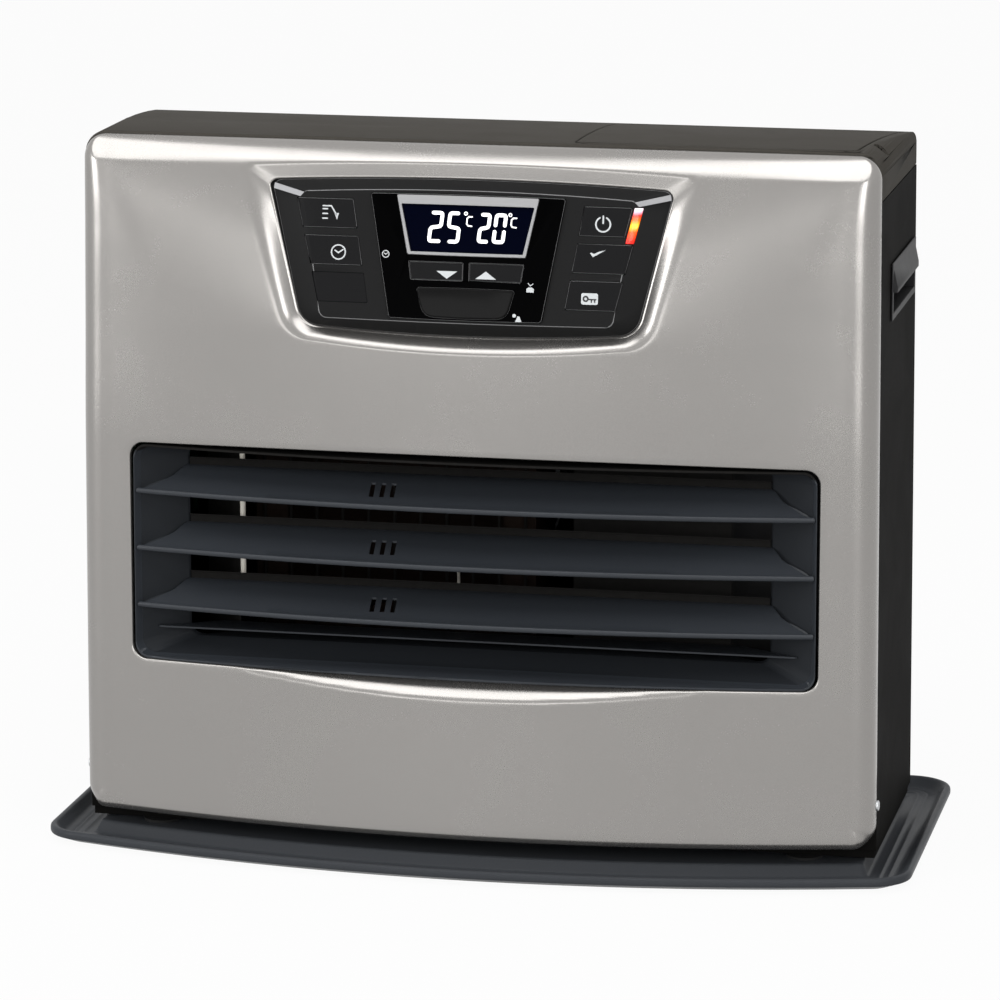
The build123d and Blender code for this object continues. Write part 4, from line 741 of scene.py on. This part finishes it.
# %% Three slats and the curls at their rear edges
slat_places = (3, (0.0, 0.0, 0.222), (0.0, 0.0, -0.0353))
slats = stacked("louvre_slats", one_slat, *slat_places, paint["louvre"])
settle(slats, "louvre", "louvre_slat_1", "louvre_slat_2", "louvre_slat_3")
curl = [(-1.2, 13.2), (-0.3, 13.2), (-0.2, 17.4), (-0.9, 18.4), (-2.0, 18.7), (-2.1, 18.1), (-1.3, 17.8),
        (-1.1, 17.2)]
# The curls take the near-black soot colour: painted shade along the slats' rear edges.
one_curl = skinned("one_curl", [[(x, SEAM + y, z) for y, z in curl] for x in (-178.0, 178.0)],
                   paint["sooty"], sharp=30)
settle(stacked("slat_rear_curls", one_curl, *slat_places, paint["sooty"]), "louvre")
print("slats:", triangles(slats), "triangles")

# %% The thin blade below them and the pale post behind them
front_edge, rear_edge, middle_y = SEAM - 11.0, SEAM + 9.0, SEAM - 1.0
outline = [(-196.2, front_edge), (-195.0, front_edge - 0.8), (195.0, front_edge - 0.8), (196.2, front_edge),
           (177.8, middle_y), (160.0, rear_edge), (-160.0, rear_edge), (-177.8, middle_y)]
blade = skinned("thin_blade", [[(x, y, 136.0 + 0.15 * (y > SEAM)) for x, y in outline],
                               [(x, y, 137.0) for x, y in outline]], paint["louvre"], smooth=False)
settle(blade, "louvre", "lower_blade")
post_x, post_y, r = -147.6, -62.0, 1.7
circle = [(post_x + r * math.cos(a), post_y + r * math.sin(a)) for a in [math.pi * k / 6 for k in range(12)]]
post = skinned("pale_post", [[(x, y, z) for x, y in circle] for z in (152.0, 249.0)],
               paint["ceramic"], sharp=40)
settle(post, "ceramic")
print("blade and post made")

# %% [markdown]
# ## Mouldings with soft edges
#
# A moulded or folded part never has a knife edge: the die leaves a small round,
# and that round is what catches the light. The CAD solids already have the
# right shape, so each of these is a merged copy of the solid with a Bevel
# modifier on its hard edges. The bevel may take a second, pale grey finish: a
# painted highlight that gives the buttons, the keys and the bezel's ridges a thin pale line.

# %% A copy of a solid with soft edges
RIDGE = (24, 75)  # degrees of bend that make an edge a ridge
HARD = math.radians(28)


def softened(node, slot, width_mm, rubbed=False, body="heater", coat=None):
    """A moulding: the CAD solid with its hard edges rounded, on the bezel only its ridges."""
    mesh = nodes[node].data.copy()
    mesh.name = node + "_moulded"
    mesh.materials.clear()
    mesh.materials.append(coat or paint[slot])
    # The bevel's faces may take the pale grey: a painted highlight on the edges.
    if rubbed:
        mesh.materials.append(paint["rubbed"])
    work = bmesh.new()
    work.from_mesh(mesh)
    bmesh.ops.remove_doubles(work, verts=work.verts, dist=WELD)
    bmesh.ops.dissolve_limit(work, angle_limit=math.radians(0.02), verts=work.verts, edges=work.edges)
    for face in work.faces:
        face.material_index = 0
        face.smooth = True
    weight = work.edges.layers.float.new("bevel_weight_edge")
    for edge in work.edges:
        bend = math.degrees(edge.calc_face_angle(0.0)) if edge.is_manifold else 0.0
        edge[weight] = float(RIDGE[0] < bend < RIDGE[1])
    work.to_mesh(mesh)
    work.free()
    mesh.set_sharp_from_angle(angle=HARD)
    piece = put(mesh.name, mesh)
    soft = piece.modifiers.new("soft_edges", "BEVEL")
    soft.width = width_mm * MM
    soft.segments = 2
    soft.limit_method = "WEIGHT" if node == "control_bezel" else "ANGLE"
    soft.angle_limit = HARD
    soft.use_clamp_overlap = False
    soft.harden_normals = True
    # The bevel's faces take the pale grey: a painted highlight.
    if rubbed:
        soft.material = 1
    return settle(piece, slot, node, body=body)


# %% Every moulding
# node, slot, width of the soft edge in mm, whether its soft edge takes a painted highlight, body
button = ("button", 0.17, True)
mouldings = [
    ("top_cover", "top", 0.9), ("tank_lid", "top", 0.7, False, "lid"), ("side_panel_left", "cabinet", 0.4),
    ("side_panel_right", "cabinet", 0.4), ("side_handle_left", "black_plastic", 0.5),
    ("side_handle_right", "black_plastic", 0.5), ("control_bezel", "bezel", 0.3, True),
    ("display_housing", "glossy", 0.16, True), ("display_frame", "trim", 0.12),
    ("motion_window", "window", 0.35), ("button_mode", *button, "mode_button"),
    ("button_clock", *button, "clock_button"), ("blank_plate", "button", 0.12),
    *((f"button_{word}", *button, f"{word}_button") for word in ("power", "tick", "lock")),
    *((f"key_{way}", "button", 0.15, True, f"{way}_key") for way in ("down", "up")),
    ("tank_cap", "red_plastic", 0.5, False, "cap"), ("cord_gland", "rubber", 0.6),
]
for row in mouldings:
    softened(*row)
print("mouldings:", len(mouldings))

# %% The outlet's frame
outlet = softened("louvre_frame", "louvre", 0.3, coat=paint["outlet"])
for slot in ("louvre", "sooty"):
    outlet.data.materials.append(paint[slot])
# Round the opening the frame is enamelled like the slats. Its other faces take a darker copy of that enamel,
# and its top the near-black soot colour: both painted shade.
for face in outlet.data.polygons:
    x, y, z = face.center
    is_strip = y < -0.0845 and (abs(x) > 0.2005 or z < 0.1225) and z < 0.246
    is_shaded_top = y < -0.08 and z > 0.247
    face.material_index = 1 if is_strip else 2 if is_shaded_top else 0
print("outlet frame:", triangles(outlet), "triangles before its edges are rounded")

# %% [markdown]
# ## The burning indicator
#
# The lens beside the power button glows when the burner runs. A lamp behind its
# middle makes it yellow there and red further away. Its pale top end is a
# painted highlight of the room's light, given as emission. A colour ramp along the
# height gives that, and the emission strength is set on the shader itself.

# %% The glowing lens
glow, tree, shader = new_material("glowing_lens")
set_inputs(shader, {"Roughness": 0.2, "Emission Strength": 1.0})
place = add(tree, "ShaderNodeTexCoord")
apart = add(tree, "ShaderNodeSeparateXYZ")
along = add(tree, "ShaderNodeMapRange", {"From Min": 0.3834, "From Max": 0.4052})
shades = add(tree, "ShaderNodeValToRGB")
# The last two tones, pale lilac and white, are a painted highlight at the lens's top end.
tones = [(0.0, (0.25, 0.0, 0.0)), (0.12, (0.75, 0.01, 0.0)), (0.36, (1.0, 0.07, 0.0)),
         (0.52, (1.0, 0.5, 0.01)), (0.66, (1.0, 0.13, 0.0)), (0.8, (0.85, 0.02, 0.01)),
         (0.9, (0.75, 0.35, 0.45)), (1.0, (0.9, 0.8, 0.85))]
stops = shades.color_ramp.elements
while len(stops) < len(tones):
    stops.new(0.5)
for stop, (at, _) in zip(stops, tones):
    stop.position = at
for stop, (_, tone) in zip(stops, tones):
    stop.color = (*tone, 1.0)
streak = add(tree, "ShaderNodeTexNoise", {"Scale": 900.0, "Detail": 1.0})
streak_amount = maths(tree, "MULTIPLY_ADD", streak.outputs["Fac"], 0.5)
streak_amount.node.inputs[2].default_value = 0.72
bright_tone = add(tree, "ShaderNodeVectorMath", operation="SCALE")
join(tree, (place.outputs["Object"], apart.inputs[0]), (apart.outputs["Z"], along.inputs["Value"]),
     (place.outputs["Object"], streak.inputs["Vector"]), (along.outputs[0], shades.inputs[0]),
     (shades.outputs[0], bright_tone.inputs[0]), (streak_amount, bright_tone.inputs["Scale"]),
     (bright_tone.outputs[0], shader.inputs["Emission Color"]),
     (shades.outputs[0], shader.inputs["Base Color"]))
softened("light_bar", "lens", 0.25, coat=glow)
print("glow tones:", len(tones))

# %% [markdown]
# ## Painted glints on the bezel's corners
#
# At each upper corner, where the bezel's top slope meets its side slope, a thin
# pale plate lies on the edge between the two: a painted glint.

# %% Two painted glints
def corner_glint(side):
    """The under and upper ring of one thin plate on the bezel's corner edge."""
    start, end = np.array((119.4, 42.6, 0.9)), np.array((99.7, 37.7, 8.0))
    along = (end - start) / np.linalg.norm(end - start)
    down = np.array((0.25, -0.96, -0.05))
    corners = [base + along * run + down * drop for base, run, drop in (
        (start, 0.2, -0.2), (end, 0.4, -0.1), (end, -1.4, 3.0), (start, 0.6, 3.2))]
    return [[on_panel(side * u, v, w + rise) for u, v, w in corners] for rise in (-0.5, 0.22)]


for side, name in ((-1, "bright_corner_left"), (1, "bright_corner_right")):
    settle(skinned(name, corner_glint(side), paint["facet"], smooth=False), "trim")
print("bright corners: 2")

# %% [markdown]
# ## Printed marks and lit digits
#
# The symbols are printed on the buttons and the digits are lit segments. Both
# are thin flat ribbons that follow a path, with round ends, so a line is as
# wide as a printed line and stays sharp from close by. Each mark rides on its
# own button and moves with it.

# %% Ribbons, discs and plates on the panel
def ribbon(path, width, closed=False, cap=5):
    """A flat line of even width along a path, seen from the front."""
    p = np.array(path, float)
    if closed:
        before, after = np.roll(p, 1, 0), np.roll(p, -1, 0)
    else:
        before, after = np.vstack([2 * p[0] - p[1], p[:-1]]), np.vstack([p[1:], 2 * p[-1] - p[-2]])
    a, b = p - before, after - p
    a /= np.hypot(a[:, 0], a[:, 1])[:, None]
    b /= np.hypot(b[:, 0], b[:, 1])[:, None]
    t = (a + b) / np.hypot(*(a + b).T)[:, None]
    side = np.stack([-t[:, 1], t[:, 0]], 1)
    mitre = 1 / np.maximum((side * np.stack([-a[:, 1], a[:, 0]], 1)).sum(1), 0.45)
    offset = side * (width / 2 * mitre)[:, None]
    spots = [tuple(q) for q in p + offset] + [tuple(q) for q in p - offset]
    n = len(p)
    quads = [(n + i, n + (i + 1) % n, (i + 1) % n, i) for i in range(n if closed else n - 1)]
    if not closed:
        for index, heading, first, last in ((n - 1, b[-1], 2 * n - 1, n - 1), (0, -a[0], 0, n)):
            start = len(spots)
            base = math.atan2(heading[1], heading[0]) - math.pi / 2
            for turn in [base + math.pi * k / cap for k in range(1, cap)]:
                spots.append((p[index, 0] + width / 2 * math.cos(turn),
                              p[index, 1] + width / 2 * math.sin(turn)))
            quads.append((first, *range(start, start + cap - 1), last))
    return spots, quads


def arc(centre, r, start, end, count=24):
    """Points on an arc, angles in degrees."""
    turns = [math.radians(start + (end - start) * k / count) for k in range(count + 1)]
    return [(centre[0] + r * math.cos(a), centre[1] + r * math.sin(a)) for a in turns]


def plate(outline):
    """A flat plate with the given outline, anticlockwise."""
    return [tuple(q) for q in outline], [tuple(range(len(outline)))]


# %% Marks made of such shapes
def mark(name, body, slot, coat, shapes, w, thick=0.12):
    """Thin solid marks standing on the panel at height w."""
    pts, faces = [], []
    for spots2, quads in shapes:
        low = len(pts)
        n = len(spots2)
        pts += [on_panel(u, v, w + thick) for u, v in spots2] + [on_panel(u, v, w - 0.05) for u, v in spots2]
        for face in quads:
            faces += [tuple(low + i for i in face), tuple(low + n + i for i in face[::-1])]
        edges = dict.fromkeys((i, j) for face in quads for i, j in zip(face, face[1:] + face[:1]))
        faces += [(low + j, low + i, low + n + i, low + n + j) for i, j in edges if (j, i) not in edges]
    piece = new_piece(name, pts, faces, coat, smooth=False)
    return settle(piece, slot, body=body)


# %% The lit digits
LEANING = 0.107  # sideways per upwards


def rounded(path, r):
    """A path with each corner cut by a short arc."""
    out = [path[0]]
    for a, b, c in zip(path, path[1:], path[2:]):
        a, b, c = (np.array(q, float) for q in (a, b, c))
        p0, p1 = (b + (q - b) / np.linalg.norm(q - b) * min(r, np.linalg.norm(q - b) / 2.1) for q in (a, c))
        out += [tuple((1 - t) ** 2 * p0 + 2 * t * (1 - t) * b + t * t * p1) for t in (0, 0.33, 0.67, 1)]
    return out + [path[-1]]


def digit(kind, left, right, low=11.3, high=28.0, width=2.15):
    """Ribbons of one digit made of segments."""
    mid = (low + high) / 2
    above, under, upper, lower = mid + 0.5, mid - 0.5, mid + 1.9, mid - 1.9
    paths = {
        "2": [[(left + 0.7, high), (right, high), (right, above), (left, under), (left, low),
               (right - 0.3, low)]],
        "5": [[(right - 1.6, high), (left, high), (left, above), (right, under), (right, low),
               (left + 1.6, low)]],
        "0": [[(left, upper), (left, high), (right, high), (right, upper)],
              [(left, lower), (left, low), (right, low), (right, lower)]]}
    leaning = [[(u + LEANING * (v - low), v) for u, v in path] for path in paths[kind]]
    return [ribbon(rounded(path, 1.5), width) for path in leaning]


lit = digit("2", -23.1, -16.9) + digit("5", -12.3, -5.9)
lit += digit("2", 6.7, 11.7, 11.9, 27.7) + digit("0", 15.7, 21.3, 11.9, 27.7)
for u in (-1.15, 25.5):
    lit.append(ribbon(arc((u, 28.0), 0.85, 0, 345, 15), 0.6, closed=True))
    lit.append(ribbon([(u + 3.8, 26.2), (u + 1.9, 26.2), (u + 0.8, 25.2), (u + 0.6, 22.0), (u + 1.4, 20.9),
                       (u + 3.6, 20.7)], 0.8))
mark("lit_digits", "heater", "screen", paint["lit"], lit, 8.5, 0.1)
print("lit ribbons:", len(lit))

# %% The printed symbols
ink = paint["ink"]
top = 8.2  # the buttons' tops over the panel's plane
mode = [ribbon([(-87.6, v), (-84.9, v)], 0.85) for v in (28.2, 25.4, 22.6)]
mode.append(ribbon([(-87.6, 30.0), (-82.6, 30.0), (-79.2, 24.6)], 0.8))
mode.append(plate([(-80.6, 25.6), (-79.0, 21.9), (-77.9, 26.0)]))
clock = [ribbon(arc((-77.6, 2.9), 4.2, 0, 350, 35), 0.8, closed=True),
         ribbon([(-79.7, 3.9), (-77.6, 2.5), (-74.9, 4.4)], 0.8)]
power = [ribbon(arc((80.9, 24.3), 4.3, 118, 422, 36), 0.95), ribbon([(80.9, 29.2), (80.9, 25.0)], 0.95)]
tick = [plate([(73.6, 7.2), (75.4, 5.0), (76.5, 5.6), (82.9, 9.3), (79.2, 8.4), (76.0, 6.9), (74.3, 7.7)])]
for word, shapes in (("mode", mode), ("clock", clock), ("power", power), ("tick", tick)):
    mark(f"{word}_symbol", f"{word}_button", "button", ink, shapes, top)
plaque = bowed_outline(5.0, 5.0, 3.35, -3.35, 0, 0, 1.1, 1.1, step=3.0, turn=5) + np.array((74.2, -19.5))
mark("key_plaque", "lock_button", "button", ink, [plate(plaque)], top)
key = [ribbon(arc((71.9, -19.5), 1.35, 0, 345, 17), 1.0, closed=True),
       *(ribbon(path, 0.8) for path in ([(73.3, -19.8), (78.0, -19.8)], [(75.3, -19.8), (75.3, -21.3)],
                                        [(77.3, -19.8), (77.3, -21.3)]))]
mark("key_symbol", "lock_button", "button", paint["dark_ink"], key, top + 0.13, 0.05)
down, up = [(-17.8, -6.1), (-11.5, -10.6), (-5.2, -6.1)], [(5.7, -10.2), (18.2, -10.2), (12.0, -5.6)]
for way, arrow in (("down", down), ("up", up)):
    mark(f"{way}_symbol", f"{way}_key", "button", ink, [plate(arrow)], top + 1)
small = [ribbon(arc((-48.6, 2.8), 2.0, 0, 345, 23), 0.5, closed=True),
         ribbon([(-49.6, 3.3), (-48.6, 2.6), (-47.4, 3.5)], 0.5),
         plate([(36.6, -16.9), (41.0, -16.9), (41.0, -14.8), (39.8, -14.0), (37.8, -14.0), (36.6, -14.8)]),
         ribbon([(37.6, -11.6), (38.8, -13.1), (40.4, -11.9)], 0.5),
         plate(arc((29.7, -30.9), 1.1, 0, 340, 17)),
         plate([(30.4, -34.5), (34.2, -34.5), (32.9, -31.2), (31.7, -31.2)])]
mark("small_symbols", "heater", "glossy", ink, small, 9.5, 0.06)
print("printed marks made")

# %% [markdown]
# ## The drip tray
#
# The tray is one pressing: a drawn-in underside, a rounded rim, a moat with two
# stiffening ridges, and a raised plinth that the heater stands on. Every level
# of it is the same outline, drawn in by a different amount, so it is made by
# joining rings, one for each change of the section.

# %% Rings of the tray
def tray_ring(inset, z):
    """The tray's outline drawn in by an amount, at a height."""
    chord, bow = 221, 26.5
    r = (chord ** 2 + bow ** 2) / (2 * bow) - inset
    half, front, corner = 266.8 - inset, -137.5 + inset, max(26 - inset, 4)
    crown = r - math.sqrt(r * r - half * half)
    ring = bowed_outline(half, half, 134.5 - inset, front + crown, 0, crown, corner, corner,
                         turn=12, counts=(96, 24, 60, 24))
    return [(x, y, z) for x, y in ring]


# inset and height, from the underside round the rim and over the moat to the plinth
section = [
    (12.6, 0.0), (11.8, 0.12), (1.6, 4.25), (0.5, 4.7), (0.06, 5.4), (0.0, 6.2), (0.0, 7.4), (0.2, 8.4),
    (0.75, 9.1), (1.6, 9.45), (2.6, 9.5), (3.4, 9.3), (4.1, 8.7), (4.9, 7.6), (7.6, 4.5), (8.8, 3.5),
    (10.4, 3.1), (13.4, 3.1), (14.0, 3.6), (15.2, 3.6), (15.8, 3.1), (18.8, 3.1), (19.4, 3.6), (20.6, 3.6),
    (21.2, 3.1), (25.4, 3.1), (26.9, 3.5), (27.7, 4.4), (29.6, 8.8), (30.3, 9.9), (31.2, 10.4), (32.6, 10.5)]
tray = skinned("drip_tray", [tray_ring(*at) for at in section], paint["tray"], sharp=50)
settle(tray, "tray", "base_tray")
print("drip tray:", triangles(tray), "triangles")

# %% [markdown]
# ## Screws
#
# All screws have a low domed head with a cross. One head is modelled for each
# size, and Geometry Nodes set it at a list of places. Each place also carries
# the way the head faces.

# %% One screw head
def screw_head(name, r, rise, around=48, out=9):
    """A low dome with a cross pressed into it, facing +Z."""
    pts, quads = [(0, 0, rise * 0.45)], []
    for k in range(1, out + 1):
        share = k / out
        for i in range(around):
            a = 2 * math.pi * i / around
            x, y = r * share * math.cos(a), r * share * math.sin(a)
            near = min(abs(x), abs(y))
            cross = float(1 - ramp(0.10 * r, 0.2 * r, near)) * float(1 - ramp(0.5, 0.68, share))
            pts.append((x, y, rise * (math.sqrt(1 - 0.8 * share * share) - 0.55 * cross)))
    pts += [(x, y, -0.4) for x, y, z in pts[-around:]]
    for i in range(around):
        quads.append((0, 1 + i, 1 + (i + 1) % around))
        for k in range(out):
            a, b = 1 + k * around + i, 1 + k * around + (i + 1) % around
            quads.append((a, a + around, b + around, b))
    quads.append(tuple(1 + out * around + i for i in range(around))[::-1])
    piece = new_piece(name, pts, quads, paint["steel"])
    tidy_normals(piece, 60)
    return piece


# %% Screws at their places
set_of_parts, given, stand = parts_tree("parts_at_places", ("Places", "Object"))
places = add(set_of_parts, "GeometryNodeObjectInfo")
turned = add(set_of_parts, "GeometryNodeInputNamedAttribute", {"Name": "turn"}, data_type="FLOAT_VECTOR")
join(set_of_parts, (given["Places"], places.inputs["Object"]), (places.outputs["Geometry"], stand["Points"]),
     (turned.outputs["Attribute"], stand["Rotation"]))


def place_list(name, places):
    """Points with a turn each, in millimetres and radians."""
    spots = new_piece(name, [at for at, turn in places], [])
    turns = spots.data.attributes.new("turn", "FLOAT_VECTOR", "POINT")
    turns.data.foreach_set("vector", [v for at, turn in places for v in turn])
    return spots


QUARTER = math.pi / 2
rear_at = [((side * (half_at(z) - 8), 88.0, z), (-QUARTER, 0, 0)) for side in (-1, 1)
           for z in (30, 160, 290, 396)]
side_at = [((side * 244.05, -69.2, 45.0), (0, side * QUARTER, 0)) for side in (-1, 1)]
for name, r, rise, at, node in (("rear_screw_heads", 3.6, 2.1, rear_at, "rear_screws"),
                                ("side_screw_heads", 3.2, 1.4, side_at, "panel_screws")):
    one, spots = screw_head("one_head", r, rise), place_list("places", at)
    values = {"Part": one, "Places": spots, "Finish": paint["steel"]}
    heads = grow_piece(name, set_of_parts, values, one, spots)
    settle(heads, "steel", node)
    print(name, triangles(heads), "triangles")

# %% [markdown]
# ## The filter's mesh
#
# Behind the fan a frame of bars carries a fine mesh that keeps dust out. Its
# threads repeat evenly, so Geometry Nodes lay them with the same tree that
# stacked the slats. Every thread is a slim bar with few faces.

# %% The fine gauze behind the threads
zigzag = [(-155.0 + 1.5 * i, 116.2 + 0.2 * (i % 2)) for i in range(122)]
outline = [*zigzag, *((x, y - 0.25) for x, y in zigzag[::-1])]
gauze = skinned("filter_gauze", [[(x, y, z) for x, y in outline] for z in (115.6, 294.4)],
                paint["black_plastic"], smooth=False)
settle(gauze, "black_plastic", body="filter")
print("gauze:", triangles(gauze), "triangles")


# %% Threads up and across
def thread(low, high):
    """A slim six-sided bar between two points, along X or Z."""
    r, upright = 0.25, high[2] > low[2]
    around = [(r * math.cos(math.pi / 3 * k), r * math.sin(math.pi / 3 * k)) for k in range(6)]
    rings = [[(x + c, y + s, z) if upright else (x, y + s, z + c) for c, s in around]
             for x, y, z in (low, high)]
    return skinned("one_thread", rings, paint["black_plastic"])


for name, low, high, step in (
        ("filter_threads_up", (-153.6, 117.0, 115.4), (-153.6, 117.0, 294.6), (0.003, 0, 0)),
        ("filter_threads_across", (-153.6, 117.4, 115.4), (25.6, 117.4, 115.4), (0, 0, 0.003))):
    threads = stacked(name, thread(low, high), 60, (0.0, 0.0, 0.0), step, paint["black_plastic"])
    settle(threads, "black_plastic", body="filter")
    print(name, triangles(threads), "triangles")

# %% [markdown]
# ## The studio
#
# A pale floor, a white world behind it and four soft panels of light: a broad
# one overhead, a weak one in front, and one from each side. The world's own
# light is weak; it looks white only to the camera and in reflections.


# %% Floor and backdrop
def shown_white(tree, hidden, white_kind, end, share):
    """Send a shader to the output, made white by a share for the camera and for reflections."""
    ray = add(tree, "ShaderNodeLightPath").outputs
    mirrored = maths(tree, "MAXIMUM", ray["Is Glossy Ray"], ray["Is Transmission Ray"])
    seen = maths(tree, "MAXIMUM", ray["Is Camera Ray"], mirrored)
    white = add(tree, white_kind, {"Color": (1, 1, 1, 1), "Strength": 1.0})
    pick = add(tree, "ShaderNodeMixShader")
    join(tree, (maths(tree, "MULTIPLY", seen, share), pick.inputs[0]), (hidden.outputs[0], pick.inputs[1]),
         (white.outputs[0], pick.inputs[2]), (pick.outputs[0], tree.nodes[end].inputs["Surface"]))


floor_paint, tree, matt = new_material("floor")
set_inputs(matt, {"Base Color": (0.6, 0.6, 0.6, 1), "Roughness": 0.9})
shown_white(tree, matt, "ShaderNodeEmission", "Material Output", 0.95)
reach = 9000
corners = [(-reach, -reach, 0), (reach, -reach, 0), (reach, reach, 0), (-reach, reach, 0)]
ground = new_piece("floor", corners, [(0, 1, 2, 3)], floor_paint)
ground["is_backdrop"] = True
world = bpy.data.worlds.new("studio")
scene.world = world
world.use_nodes = True
plain = world.node_tree.nodes["Background"]
set_inputs(plain, {"Color": (1, 1, 1, 1), "Strength": 0.45})
shown_white(world.node_tree, plain, "ShaderNodeBackground", "World Output", 1.0)


# %% Lamps
def soft_light(name, place, aim, size, watts):
    """A panel of light that faces a point."""
    lamp = bpy.data.lights.new(name, "AREA")
    lamp.shape = "RECTANGLE"
    lamp.size, lamp.size_y = size
    lamp.energy = watts
    holder = put(name, lamp)
    holder.location = place
    holder.rotation_euler = (Vector(aim) - Vector(place)).to_track_quat("-Z", "Y").to_euler()


soft_light("overhead", (0.0, -1.02, 2.33), (0, -0.08, 0.3), (3.2, 1.25), 41)
soft_light("front", (-0.6, -2.85, 0.45), (0, 0, 0.25), (1.2, 0.6), 6)
soft_light("left", (-2.1, -1.57, 0.8), (0, 0, 0.25), (0.9, 1.3), 24)
soft_light("right", (1.36, -2.27, 0.8), (0, 0, 0.25), (0.9, 1.3), 21)

# %% [markdown]
# ## The size of the dressed model
#
# Blender must not change the object's dimensions, so the box of the dressed
# model is printed.

# %% Sizes
low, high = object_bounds()
print("visual box:", [round(v, 4) for v in (*low, *high)])
